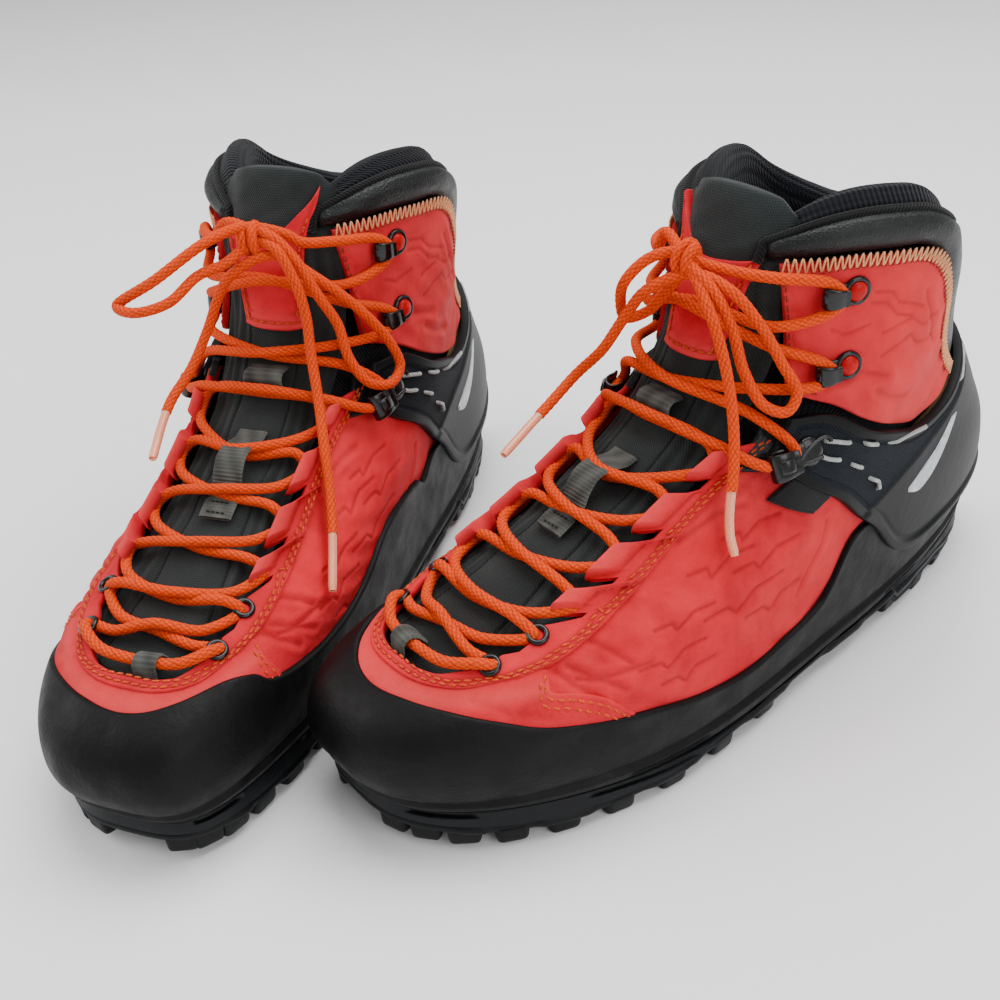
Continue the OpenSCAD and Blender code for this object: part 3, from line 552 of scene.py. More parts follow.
def collar_paint():
    p = Paint("collar_leather", Coat_Weight=0.1, Coat_Roughness=0.3, Specular_IOR_Level=0.25)
    cloud = p.remap(p.noise(45, 4, 0.6, 0.5), 0.35, 0.7)
    base = p.mix(cloud, srgb("060909"), srgb("0e1313"))
    # painted shade: darker where the dark attribute marks the cover's tucked edges
    base = p.mix(p.math("MULTIPLY", p.attr("dark"), 0.9, clamp=True), base, srgb("070808"))
    grain = p.math("ADD", p.math("MULTIPLY", p.cells(1500), 0.8), p.noise(420, 3, 0.6))
    p.set(Base_Color=base, Roughness=p.remap(p.noise(160, 3), 0.3, 0.7, 0.34, 0.52))
    p.set(Normal=p.bump(grain, 0.0003))
    return p.m


def gloss_paint(name, dark, light, rough=0.22, metal=0.0, coat=0.3, shine=0.35):
    p = Paint(name, Metallic=metal, Coat_Weight=coat, Coat_Roughness=0.08,
              Specular_IOR_Level=shine)
    worn = p.remap(p.noise(240, 4, 0.65), 0.5, 0.75)
    p.set(Base_Color=p.mix(worn, srgb(dark), srgb(light)),
          Roughness=p.remap(p.noise(500, 3), 0.3, 0.7, rough - 0.06, rough + 0.14))
    p.set(Normal=p.bump(p.noise(700, 3), 0.00012))
    return p.m


def thread_paint(name, dark, light, rough=0.6):
    p = Paint(name, Roughness=rough, Sheen_Weight=0.05, Specular_IOR_Level=0.2)
    ply = p.remap(p.noise(1800, 3), 0.35, 0.65)
    p.set(Base_Color=p.mix(ply, srgb(dark), srgb(light)),
          Normal=p.bump(p.noise(3200, 2), 0.0003))
    return p.m


NUBUCK = nubuck_paint()
RAND = rubber_paint("rand_rubber", "080808", "121213", 0.5)
MIDSOLE = rubber_paint("midsole_foam", "090a0c", "131519", 0.42, blue=0.12)
TREAD = rubber_paint("sole_rubber", "08080a", "101113", 0.5, blue=0.06)
CAGE = cage_paint()
COLLAR = collar_paint()
MESH = cloth_paint("mesh_lining", "030407", "0d0f18", (3600, 2600), 0.8, 0.3, 0.0005)
SOFTSHELL = cloth_paint("softshell", "1b1f1f", "2a302f", (8200, 7600), 0.78, 0.35, 0.0002)
WEBBING = cloth_paint("webbing", "2b2c2a", "5b5c56", (900, 5200), 0.8, 0.3, 0.0005)
BINDING = cloth_paint("binding", "040405", "0d0e0f", (5200, 3100), 0.8, 0.3, 0.0004)
FOOTBED = cloth_paint("footbed_knit", "16191d", "2a2f36", (3100, 2600), 0.9, 0.3, 0.0004)
METAL = gloss_paint("black_metal", "08080a", "151517", 0.2, 0.2)
ENAMEL = gloss_paint("red_enamel", "a80006", "d6060e", 0.3, coat=0.05, shine=0.12)
SILVER = gloss_paint("reflective", "a9b0b4", "d5dbde", 0.35, 0.3)
CABLE = gloss_paint("cable", "8d908d", "b9bdb9", 0.4)
LABEL = thread_paint("label", "040405", "0c0c0d")
ORANGE_THREAD = thread_paint("orange_thread", "a82c0c", "e85c20")
RED_THREAD = thread_paint("red_thread", "8f1d19", "c03a33")
PEACH_THREAD = thread_paint("peach_thread", "d98a58", "f5b88a", 0.5)
BLACK_THREAD = thread_paint("black_thread", "060607", "1a1b1c")
BOARD = thread_paint("board", "a08352", "c3a676", 0.8)
STEEL = gloss_paint("shank_steel", "8a8d92", "b4b7bb", 0.35, 1.0)


# ------------------------------------------------------------------ sheets on the last
def resample(edge, n, other=None):
    """Catmull-Rom through an edge's points, n of them; other is the edge it is matched to."""
    e = np.asarray(edge, float)
    o = e if other is None else np.asarray(other, float)
    seg = np.maximum(np.linalg.norm(np.diff(off(e[:, 0], e[:, 1], 0), axis=0), axis=1),
                     np.linalg.norm(np.diff(off(o[:, 0], o[:, 1], 0), axis=0), axis=1))
    run = np.append(0, np.cumsum(seg))
    k = np.interp(np.linspace(0, run[-1], n), run, np.arange(len(e)))
    i = np.clip(k.astype(int), 0, len(e) - 2)
    u = (k - i)[:, None]
    slope = np.gradient(e, axis=0)
    return ((1 + 2 * u) * (1 - u) ** 2 * e[i] + u * (1 - u) ** 2 * slope[i]
            + u * u * (3 - 2 * u) * e[i + 1] + u * u * (u - 1) * slope[i + 1])


def between(low, high, nu, nv):
    """Grids of angle and level between two matched edges, closer together near both."""
    w = np.linspace(0, 1, nv)
    v = 0.6 * w + 0.4 * (1 - np.cos(math.pi * w)) / 2
    lo, hi = resample(low, nu, high), resample(high, nu, low)
    g = lo[:, None] * (1 - v)[None, :, None] + hi[:, None] * v[None, :, None]
    return g[..., 0], g[..., 1]


def runs(points):
    """Distance along each column and along each row of a grid of points."""
    dv = np.linalg.norm(np.diff(points, axis=1), axis=-1)
    du = np.linalg.norm(np.diff(points, axis=0), axis=-1)
    v = np.concatenate([np.zeros((len(points), 1)), np.cumsum(dv, 1)], 1)
    u = np.concatenate([np.zeros((1, points.shape[1])), np.cumsum(du, 0)], 0)
    return u, v


def each_side(low, high, nu, nv):
    """Grids on the lateral and the medial side between two edges given for the lateral one."""
    for sign, word in ((1, "lateral"), (-1, "medial")):
        edges = [[[sign * x, y] for x, y in edge][::sign] for edge in (low, high)]
        yield sign, word, *between(*edges, nu, nv)


def mirrored(paths, sign):
    return [on_skin([[sign * x, y] for x, y in path]) for path in paths]


def flat_uv(u, v, count=None, copies=1):
    """Texture places in metres from distances along a grid, carried on to count points."""
    flat = np.tile(np.stack([u.reshape(-1), v.reshape(-1)], -1) * MM, (copies, 1))
    return np.vstack([flat, np.repeat(flat[:1], (count or len(flat)) - len(flat), 0)])


def from_edges(u, v):
    """Distance of each point of a grid from its nearest edge."""
    return np.minimum(np.minimum(v, v[:, -1:] - v), np.minimum(u, u[-1:] - u))


def round_edge(d, wall, radius):
    """Height of a sheet of that wall at distance d from its edge."""
    d = np.clip(d, 0, radius)
    return wall - radius + np.sqrt(np.maximum(radius ** 2 - (radius - d) ** 2, 0))


def sheet_solid(angles, levels, inner, outer, wrap=False, back=False):
    """Outer face, rim and, if back, inner face of a sheet; returns verts and faces."""
    nu, nv = angles.shape
    top = off(angles, levels, outer).reshape(-1, 3)
    low = off(angles, levels, inner).reshape(-1, 3)
    faces = [grid_faces(nu, nv, wrap_u=wrap)]
    n = nu * nv
    index = np.arange(n).reshape(nu, nv)
    if back:
        faces.append(grid_faces(nu, nv, wrap_u=wrap, base=n)[:, ::-1])
        verts, lower = np.vstack([top, low]), index + n
    else:
        verts, lower = [top], np.full((nu, nv), -1)
        rim = np.zeros((nu, nv), bool)
        rim[:, 0] = rim[:, -1] = True
        if not wrap:
            rim[0] = rim[-1] = True
        lower[rim] = n + np.arange(rim.sum())
        verts = np.vstack([top, low.reshape(nu, nv, 3)[rim]])
    loops = [(index[:, 0], lower[:, 0], True), (index[:, -1], lower[:, -1], False)]
    if not wrap:
        loops += [(index[0], lower[0], False), (index[-1], lower[-1], True)]
    for a, b, flip in loops:
        if wrap:
            a, b = np.append(a, a[0]), np.append(b, b[0])
        q = np.stack([a[:-1], b[:-1], b[1:], a[1:]], -1)
        faces.append(q if flip else q[:, ::-1])
    return verts, np.concatenate(faces)


def full(values, count):
    """Attribute values for the outer face, carried on with 0 to the rim and back."""
    v = np.asarray(values, float).reshape(-1)
    return np.concatenate([v, np.zeros(count - len(v))])


def near(points, line_sets):
    """Distance of each point from the nearest of several lines of points."""
    dots = np.vstack([even(q, step=0.5) for q in line_sets])
    tree = KDTree(len(dots))
    for i, q in enumerate(dots):
        tree.insert(q, i)
    tree.balance()
    p = points.reshape(-1, 3)
    return np.array([tree.find(q)[2] for q in p]).reshape(points.shape[:-1])


def sheet(name, angles, levels, inner, wall, material, slot, replaces=None, wrap=False, back=False,
          lines=(), groove=(0.45, 1.0), radius=0.8, shape=None, pale=None, cloth=None,
          groove_shade=0.7):
    """Builds one sheet on both boots with rounded edges, grooves along lines and extra shape.

    groove is (depth, width), and the grooves get painted shade; shape gives height, or height and
    painted shade, to add; pale and cloth give the material's attributes. Returns the distances
    along the grid's rows."""
    u, v = runs(off(angles, levels, inner))
    d = np.minimum(v, v[:, -1:] - v) if wrap else from_edges(u, v)
    h = round_edge(d, wall, min(radius, wall))
    dark = np.zeros_like(h)
    if len(lines):
        gap = near(off(angles, levels, 0.0), lines)
        dip = bell(gap, groove[1])
        h = h - groove[0] * dip
        # painted shade: the grooves along the lines are darkened
        dark = groove_shade * dip ** 2
    if shape is not None:
        more = shape(angles, levels, u, v)
        extra_h, extra_dark = more if isinstance(more, tuple) else (more, 0)
        h, dark = h + extra_h, dark + extra_dark
    verts, faces = sheet_solid(angles, levels, inner, inner + h, wrap, back)
    attrs = {"dark": full(np.clip(dark, 0, 1), len(verts))}
    for key, value in (("pale", pale), ("cloth", cloth)):
        if value is not None:
            attrs[key] = full(value(angles, levels, u, v), len(verts))
    piece(name, verts, faces, material, slot, replaces, attrs=attrs,
          uv=flat_uv(u, v, len(verts), 2 if back else 1))
    return v


def stitches(path, pitch=3.3, length=2.5, radius=0.42, lean=0.0):
    """A row of stitches along points in space; returns verts and faces."""
    line = even(path, step=0.4)
    run = distances(line)
    n = max(1, int(run[-1] / pitch))
    s = (np.arange(n) + 0.5) * run[-1] / n
    c = np.stack([np.interp(s, run, line[:, k]) for k in range(3)], -1)
    e = np.stack([np.interp(s + 0.3, run, line[:, k]) for k in range(3)], -1)
    d = unit(e - c + 1e-9)
    d[-1] = d[-2] if n > 1 else d[-1]
    a = unit(np.cross(d, [0.3, 0.2, 0.93]))
    b = np.cross(d, a)
    d = unit(d + lean * a)
    xs = np.array([-1, -0.72, 0, 0.72, 1.0])
    rs = np.array([0.25, 0.8, 1.0, 0.8, 0.25])
    k = np.arange(6) * math.pi / 3
    ring = (c[:, None, None] + (xs[:, None, None] * length / 2) * d[:, None, None]
            + radius * rs[:, None, None] * (np.cos(k)[None, :, None] * a[:, None, None]
                                            + np.sin(k)[None, :, None] * b[:, None, None]))
    one = grid_faces(5, 6, wrap_v=True)
    caps = np.array([[3, 2, 1, 0], [0, 5, 4, 3], [24, 25, 26, 27], [27, 28, 29, 24]])
    one = np.vstack([one, caps])
    faces = (one[None] + (np.arange(n) * 30)[:, None, None]).reshape(-1, 4)
    return ring.reshape(-1, 3), faces


def at_distance(angles, levels, run, d):
    """Path at distance d along every column of a grid; from the far edge if d is negative."""
    out = []
    for a, t, r in zip(angles, levels, run):
        x = d if d >= 0 else r[-1] + d
        out.append([np.interp(x, r, a), np.interp(x, r, t)])
    return np.array(out)


THREAD_ROWS = {"orange": [], "red": []}


# ------------------------------------------------------------------ upper: red leather
def chevron(a, t, scale=1.0, flip=1):
    """Embossed broken line about a place on the last; its shape is in millimetres."""
    shape = [(-20, 1.5), (-7, 1), (0, -3.6), (8, 1.6), (24, 0.6)]
    degree, level = 2.3, 122
    return on_skin([[a + flip * x * scale / degree, t + y * scale / level] for x, y in shape])


VAMP_HIGH = [[-50, 0.16], [-46, 0.24], [-41, 0.3], [-36, 0.355], [-27, 0.35], [-14, 0.346],
             [0, 0.345], [14, 0.344], [27, 0.348], [37, 0.357], [42, 0.3], [48, 0.275],
             [54, 0.235], [60, 0.165]]
VAMP_LOW = [[a, 0.1] for a in (-50, -46, -41, -34, -26, -14, 0, 14, 26, 35, 42, 48, 54, 60)]
STAY_EDGE = np.array([[0.345, 33], [0.36, 38.5], [0.375, 41], [0.395, 43], [0.42, 45], [0.44, 46],
                      [0.47, 47.5], [0.5, 48], [0.54, 49], [0.58, 49.5], [0.62, 50.5],
                      [0.65, 52], [0.68, 54], [0.715, 56.5]])
THROAT = np.array([[0.35, 17], [0.365, 20], [0.385, 24], [0.43, 27.5], [0.5, 30], [0.58, 32],
                   [0.65, 34], [0.715, 37]])
NOTCHES = [(0.402, 0.011, 3.5), (0.448, 0.0105, 10), (0.502, 0.012, 9.5), (0.578, 0.0125, 9.5),
           (0.655, 0.0125, 9), (0.722, 0.012, 8)]


def throat_angle(t):
    a = np.interp(t, THROAT[:, 0], THROAT[:, 1])
    for at, half, deep in NOTCHES:
        a = a + deep * smooth(1.0, 0.62, np.abs(t - at) / half)
    return a


def tab_amount(t):
    """1 on a folded lace tab, 0 in the cut-outs and below them."""
    cut = np.zeros_like(t)
    for at, half, _ in NOTCHES:
        cut = np.maximum(cut, smooth(1.35, 0.8, np.abs(t - at) / half))
    return (1 - cut) * smooth(0.452, 0.462, t)


def vamp():
    a, t = between(VAMP_LOW, VAMP_HIGH, 420, 80)
    creases = [on_skin([[26, 0.31], [36, 0.27], [44, 0.24]]), on_skin([[-24, 0.3], [-36, 0.26]])]
    v = sheet("vamp", a, t, -2.2, 3.1, NUBUCK, "coral_leather", "vamp", lines=creases,
              groove=(0.25, 1.6), groove_shade=0.15,
              pale=lambda a, t, u, v: 0.35 * bell(t - 0.31, 0.02))
    for d in (-2.0, -4.4):
        row = at_distance(a, t, v, d)
        for wing in (a[:, -1] > 37.5, a[:, -1] < -36.5):
            THREAD_ROWS["orange"].append((row[wing], 0.95))


QUARTER_LOW = [[44, 0.1], [52, 0.08], [62, 0.08], [72, 0.07], [82, 0.07], [94, 0.08], [103, 0.14],
               [113, 0.22]]
QUARTER_HIGH = [[33, 0.33], [38, 0.38], [44, 0.45], [46, 0.53], [48, 0.61], [52, 0.7],
                [62, 0.7], [87, 0.6]]


QUARTER_WRINKLES = [
    [(40, 0.345), (46, 0.3), (53, 0.235)], [(42, 0.35), (49, 0.305), (57, 0.24)],
    [(44, 0.39), (51, 0.345), (56, 0.3)], [(46, 0.31), (51, 0.29), (60, 0.28)],
    [(90, 0.2), (94, 0.3), (93, 0.38)], [(50, 0.55), (57, 0.58), (64, 0.575)]]


def creased(seed):
    """Height of soft random creases, a sum of seven waves."""
    wave = np.random.default_rng(seed)
    k = wave.uniform(0.03, 0.1, (7, 2)) * wave.choice([-1, 1], (7, 2))
    phase = wave.uniform(0, 6.3, 7)

    def shape(a, t, u, v):
        return sum(0.09 * np.sin(2 * math.pi * (k[i, 0] * u * 0.6 + k[i, 1] * v) + phase[i])
                   for i in range(7))
    return shape


def quarters():
    for sign, word, a, t in each_side(QUARTER_LOW, QUARTER_HIGH, 300, 150):
        lines = [chevron(sign * x, y, s, sign) for x, y, s in
                 ((70, 0.5, 0.7), (66, 0.445, 0.75), (78, 0.395, 0.75), (63, 0.35, 0.6),
                  (76, 0.305, 0.85), (64, 0.26, 0.62), (84, 0.235, 0.6), (68, 0.2, 0.5))]
        gap = near(off(a, t, -0.2), mirrored(QUARTER_WRINKLES, sign))
        soft = creased(5 + sign)

        def shape(a, t, u, v, gap=gap, soft=soft):
            fold = bell(gap, 1.1) - 0.8 * bell(gap - 2.4, 1.5)
            # painted shade along the wrinkles
            return soft(a, t, u, v) - 0.42 * fold, 0.35 * bell(gap, 0.8)

        sheet(f"quarter_{word}", a, t, -2.2, 2.0, NUBUCK, "coral_leather", f"quarter_{word}",
              lines=lines, groove=(0.55, 0.75), groove_shade=0.5, shape=shape,
              pale=lambda a, t, u, v: 0.2 * smooth(0.5, 0.63, t) + 0.15 * smooth(80, 100, abs(a)))


def eyestay():
    front = np.linspace(0, 1, 60)[:-1]
    rise = np.linspace(0, 1, 360)
    t_in = 0.365 + 0.35 * rise
    t_out = np.interp(rise, [0, 0.06, 1], [0.345, 0.36, 0.715])
    a_in = throat_angle(t_in)
    a_out = np.interp(t_out, STAY_EDGE[:, 0], STAY_EDGE[:, 1])
    # round the front: inner edge along the throat's end, outer edge below it
    f_in = np.stack([20 * front, 0.352 + 0.013 * smooth(0.55, 1, front)], -1)
    f_out = np.stack([33 * front, 0.331 + 0.014 * smooth(0.6, 1, front)], -1)
    inner = np.vstack([f_in, np.stack([a_in, t_in], -1)])
    outer = np.vstack([f_out, np.stack([a_out, t_out], -1)])
    inner = np.vstack([(inner * [-1, 1])[:0:-1], inner])
    outer = np.vstack([(outer * [-1, 1])[:0:-1], outer])
    w = np.linspace(0, 1, 30)
    v = 0.5 * w + 0.5 * (1 - np.cos(math.pi * w)) / 2
    g = outer[:, None] * (1 - v)[None, :, None] + inner[:, None] * v[None, :, None]
    a, t = g[..., 0], g[..., 1]
    tab = tab_amount(t)
    near_throat = smooth(0.3, 0.95, v)[None, :]
    lift = 3.6 * tab * near_throat

    def shape(a, t, u, v):
        d = v[:, -1:] - v
        fold = 1.6 * tab * smooth(8.5, 6.0, d)
        lip = 0.5 * tab * bell(d - 8.2, 0.7)
        # painted shade in the crease under each tab's lip
        return lift + fold - lip, 0.5 * tab * bell(d - 8.4, 0.6)

    base = off(a, t, 0)
    u, v = runs(base)
    h = round_edge(from_edges(u, v), 1.7, 0.8)
    rows = [at_distance(a, t, v, d) for d in (2.0, 4.5)]
    dip = bell(near(base, [on_skin(r) for r in rows]), 0.8)
    extra, dark = shape(a, t, u, v)
    verts, faces = sheet_solid(a, t, lift * 0.9 - 0.6, h + extra - 0.35 * dip, back=True)
    # painted shade: the tab lips, and the grooves along the stitch rows
    attrs = {"dark": full(np.clip(dark + 0.45 * dip, 0, 1), len(verts)),
             "pale": full(0.3 * tab * smooth(0.55, 0.9, (v / v[:, -1:])), len(verts))}
    piece("eyestay", verts, faces, NUBUCK, "coral_leather", "eyestay", attrs=attrs,
          uv=flat_uv(u, v, copies=2))
    for r in rows:
        THREAD_ROWS["orange"].append((r, 1.55))


CUFF_LOW = [[45, 0.86], [52, 0.8], [61, 0.775], [74, 0.735], [88, 0.67], [100, 0.605],
            [116, 0.505], [128, 0.495], [139, 0.52]]
CUFF_HIGH = [[34, 1.03], [44, 1.03], [54, 1.03], [66, 1.03], [78, 1.025], [90, 1.02],
             [101, 0.99], [110, 0.91], [124, 0.76]]


CUFF_LINES = [[(74, 0.955), (80, 0.95), (84, 0.925), (95, 0.9)],
              [(73, 0.935), (79, 0.93), (84, 0.9), (90, 0.89)],
              [(80, 0.87), (90, 0.885), (96, 0.86), (104, 0.87)],
              [(82, 0.82), (92, 0.845), (97, 0.815), (108, 0.8)],
              [(60, 0.9), (66, 0.885), (74, 0.895)]]
CUFF_CREASES = [[(66, 0.79), (76, 0.8), (88, 0.765)], [(86, 0.74), (94, 0.7), (104, 0.66)],
                [(96, 0.93), (101, 0.86), (110, 0.78)]]


def cuffs():
    for sign, word, a, t in each_side(CUFF_LOW, CUFF_HIGH, 260, 110):
        gap = near(off(a, t, -0.2), mirrored(CUFF_CREASES, sign))
        soft = creased(15 + sign)

        def shape(a, t, u, v, gap=gap, soft=soft):
            # painted shade along the creases
            return (soft(a, t, u, v) * 1.4 - 0.5 * bell(gap, 1.3)
                    + 0.35 * bell(gap - 3, 1.5), 0.3 * bell(gap, 0.9))

        v = sheet(
            f"cuff_{word}", a, t, -2.2, 2.2, NUBUCK, "coral_leather", f"cuff_{word}",
            lines=mirrored(CUFF_LINES, sign), groove=(0.45, 0.8), groove_shade=0.35, shape=shape,
            pale=lambda a, t, u, v: 0.3 * smooth(60, 120, abs(a)) + 0.1)
        column = (0, 1) if sign > 0 else (-1, -2)
        edge = np.stack([a[column[0]], t[column[0]]], -1)
        for step in (1.8, 4.0):
            THREAD_ROWS["red"].append((edge + [sign * step / 2.2, 0], 0.1))
        foot = at_distance(a, t, v, 2.0)
        keep = np.abs(foot[:, 0]) < 64
        THREAD_ROWS["red"].append((foot[keep], 0.1))


# ------------------------------------------------------------------ collar and lining
COLLAR_LOW = [[26, 1.045], [34, 1.045], [46, 1.045], [60, 1.045], [78, 1.04], [91, 1.035],
              [103, 1.0], [113, 0.91], [127, 0.76], [142, 0.545], [160, 0.61], [180, 0.64]]
COLLAR_HIGH = [[24, 1.1], [34, 1.125], [46, 1.14], [60, 1.14], [78, 1.13], [92, 1.12],
               [106, 1.09], [118, 1.06], [130, 1.03], [146, 0.99], [162, 0.97], [180, 0.96]]


def round_back(edge):
    """An edge from the front to the back on one side, carried on round the other side."""
    return edge + [[360 - q[0], q[1]] for q in edge[-2::-1]]


def collar():
    a, t = between(round_back(COLLAR_LOW), round_back(COLLAR_HIGH), 520, 46)
    u, v = runs(off(a, t, 0))
    s = v / v[:, -1:]
    full_width = smooth(0, 26, np.minimum(u, u[-1:] - u))
    bulge = (1.4 + 2.6 * full_width) * np.sin(math.pi * np.clip(s * 0.92, 0, 1)) ** 0.7
    wave = 0.3 * np.sin(u / 9.0) * np.sin(u / 23 + 1) * np.sin(math.pi * s)
    top = -1.2 + bulge + wave - 1.4 * smooth(0.86, 1, s)
    ends = np.minimum(u, u[-1:] - u)
    top = top - 2.2 * (1 - smooth(0, 5, ends)) ** 2
    verts, faces = sheet_solid(a, t, -5.0, top)
    # painted shade along the cover's lower and upper edges, where they tuck under
    dark = 0.6 * smooth(0.1, 0.0, s) + 0.5 * smooth(0.93, 1, s)
    for obj in piece("collar_cover", verts, faces, COLLAR, "collar_leather", "collar_cover",
                     attrs={"dark": full(dark, len(verts))}, uv=flat_uv(u, v, len(verts))):
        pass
    # cord binding along the top of the cover and down its front end
    t_top = t[:, -1]
    line = off(a[:, -1], t_top, -1.6)
    front0 = off(np.full(8, 24.5), np.linspace(1.03, t_top[0], 8), -1.6)
    front1 = off(np.full(8, 335.5), np.linspace(t_top[-1], 1.03, 8), -1.6)
    line = spline(np.vstack([front0[:-1], line[::6], front1[1:]]), step=1.2)
    rows, columns = np.meshgrid(np.arange(len(line)) * 1.2, np.arange(10.0), indexing="ij")
    piece("collar_binding", *tube(line, 1.5, 10), BINDING, "mesh_lining",
          uv=flat_uv(rows, columns, 10 * len(line) + 2))


def collar_lining():
    """Padded mesh roll inside the collar, and the lining of the shaft below it."""
    high = np.array(resample(round_back(COLLAR_HIGH), 420))
    ang, top_t = high[:, 0][:, None], high[:, 1][:, None]
    knots = np.array([[0.0, -0.02, -2.2], [0.12, 0.02, -3.6], [0.24, 0.05, -6.2],
                      [0.36, 0.05, -9.2], [0.48, 0.015, -12.2], [0.62, -0.06, -13.0],
                      [0.8, 9, -11.2], [1.0, 9, -7.0]])
    w = np.linspace(0, 1, 44)
    add = np.interp(w, knots[:, 0], np.minimum(knots[:, 1], 0.1))[None, :]
    deep = np.interp(w, knots[:, 0], knots[:, 2])[None, :]
    fall = smooth(0.58, 1.0, w)[None, :]
    level = (top_t + np.where(w < 0.6, add, -0.06)) * (1 - fall) + (0.76) * fall
    puff = 1.1 * np.sin(ang / 13.0) * smooth(0.15, 0.5, w)[None, :] * smooth(1, 0.7, w)[None, :]
    level = np.clip(level, 0.05, 1.299)
    ridge = 0.35 * np.cos(w * 90)[None, :] * smooth(0.1, 0.3, w)[None, :]
    p = off(np.broadcast_to(ang, level.shape), level, deep + puff * 0.6 + ridge)
    u, v = runs(p)
    for obj in piece("collar_lining", p.reshape(-1, 3), grid_faces(*level.shape)[:, ::-1], MESH,
                     "mesh_lining", "collar_lining", uv=flat_uv(u, v)):
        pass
    a, t = np.meshgrid(np.linspace(0, 360, 181)[:-1], np.linspace(0.05, 0.8, 40), indexing="ij")
    inner = off(a, t, -5.6)
    u, v = runs(inner)
    piece("lining", inner.reshape(-1, 3), grid_faces(180, 40, wrap_u=True), MESH,
          "mesh_lining", "lining", uv=flat_uv(u, v))


# ------------------------------------------------------------------ tongue
def tongue():
    low = [[a, 0.352] for a in (-34, -24, -12, 0, 12, 24, 34)]
    high = [[a, 1.035] for a in (-44, -30, -15, 0, 15, 30, 44)]
    a, t = between(low, high, 140, 330)

    def shape(a, t, u, v):
        side = smooth(13, 22, np.abs(a))
        pleat = 0.4 * side * np.sin(np.abs(a) * 0.8 + 9 * t) \
            + 0.3 * side * np.sin(np.abs(a) * 0.35 - 24 * t)
        quilt = 0.5 * (1 - side) * np.sin(t * 72 + 1.0) * smooth(0.36, 0.42, t)
        seam = bell(np.abs(a) - 15.5, 0.55)
        ripple = 0.14 * np.sin(a * 0.3 + 40 * t)
        # painted shade in the seam grooves
        return pleat + quilt + ripple - 0.7 * seam, 0.6 * seam

    sheet("tongue", a, t, -4.2, 1.7, SOFTSHELL, "softshell", "tongue", shape=shape, back=True)


def tongue_top():
    """Smooth padded top of the tongue, closed all round."""
    w = np.linspace(-36, 36, 90)
    s = np.linspace(0, 1, 48)
    a = np.broadcast_to(w[:, None], (90, 48))
    tip = 1.262 - 0.075 * (w / 36) ** 2 - 0.02 * smooth(26, 36, np.abs(w))
    t = 1.0 + (tip[:, None] - 1.0) * (1 - (1 - s) ** 1.15)[None, :]
    sunk = 2.4 * smooth(12, 30, np.abs(w))[:, None]
    sides = smooth(36, 31, np.abs(w))[:, None]
    puff = np.sin(math.pi * np.clip(s * 0.93 + 0.06, 0, 1))[None, :] ** 0.6
    front = -3.6 + (3.2 * puff - sunk + 0.12 * np.sin(w / 3.1)[:, None] * np.sin(s * 17)[None, :]) * sides
    rear = -6.8 - 1.2 * puff * sides
    verts, faces = sheet_solid(a, np.minimum(t, 1.299), rear, np.maximum(front, rear + 0.4), back=True)
    u, v = runs(off(a, np.minimum(t, 1.299), front))
    for obj in piece("tongue_pad", verts, faces, SOFTSHELL, "softshell", "tongue_pad",
                     uv=flat_uv(u, v, copies=2)):
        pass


def tongue_patch():
    low = [[-17, 0.862], [-10, 0.86], [0, 0.86], [10, 0.86], [17, 0.862]]
    high = [[-27, 1.19], [-18, 1.12], [-6, 1.035], [12, 1.03], [27, 1.04]]
    a, t = between(low, high, 150, 90)
    u, v = runs(off(a, t, -2.2))
    foot = at_distance(a, t, v, 2.6)[8:-8]
    left_row, right_row = (at_distance(a.T, t.T, u.T, d)[8:-6] for d in (2.6, -2.6))
    lines = [on_skin(q) for q in (foot, left_row, right_row)]
    frame_line = on_skin([[-13, 0.885], [13, 0.885], [19, 1.0], [-19, 1.0], [-13, 0.885]])
    sheet("tongue_patch", a, t, -2.4, 1.5, NUBUCK, "coral_leather", "tongue_patch",
          lines=lines + [frame_line], groove=(0.35, 0.8), groove_shade=0.35, back=True,
          shape=lambda a, t, u, v: 0.5 * bell(t - 0.945, 0.035) * (np.abs(a) < 14)
          + 1.3 * smooth(1.03, 1.15, t) + 0.12 * np.sin(u / 3.4) * np.sin(v / 4.4),
          pale=lambda a, t, u, v: 0.3 * bell(t - 0.87, 0.015))
    THREAD_ROWS["orange"] += [(foot, -0.95), (left_row, -0.8), (right_row, -0.8)]


STRAP_STEP = 0.35


def strap(path, width, wall, ribs=0.0):
    """Webbing strap along a path of [angle, level, height], rounded and ribbed."""
    q = np.asarray(path, float)
    mid = spline(off_path(q), step=STRAP_STEP)
    up = np.stack([np.interp(np.linspace(0, 1, len(mid)), np.linspace(0, 1, len(q)),
                             outward(q[:, 0], q[:, 1])[:, k]) for k in range(3)], -1)
    d = unit(np.gradient(mid, axis=0))
    side = unit(np.cross(up, d))
    lift = unit(np.cross(d, side))
    half, ring = 15, 30
    x = np.concatenate([np.linspace(-0.5, 0.5, half), np.linspace(0.5, -0.5, half)])
    z = np.concatenate([np.full(half, 1.0), np.full(half, 0.0)])
    edge = smooth(0.5, 0.44, np.abs(x))
    z = np.where(z > 0.5, 0.5 + 0.5 * edge, 0.5 - 0.5 * edge)
    along_rib = ribs * np.abs(np.sin(np.arange(len(mid)) * STRAP_STEP / 1.3 * math.pi))[:, None]
    height = wall * z[None, :] + along_rib * (z > 0.5)[None, :]
    verts = mid[:, None] + x[None, :, None] * width * side[:, None] + height[..., None] * lift[:, None]
    n = len(mid)
    faces = grid_faces(n, ring, wrap_v=True)
    caps = [end_caps(0, ring)[:, ::-1], end_caps((n - 1) * ring, ring)]
    run = np.arange(n) * STRAP_STEP
    uv = np.stack([np.broadcast_to(x * width, (n, ring)), np.repeat(run[:, None], ring, 1)], -1)
    return verts.reshape(-1, 3), np.vstack([faces, *caps]), uv.reshape(-1, 2) * MM


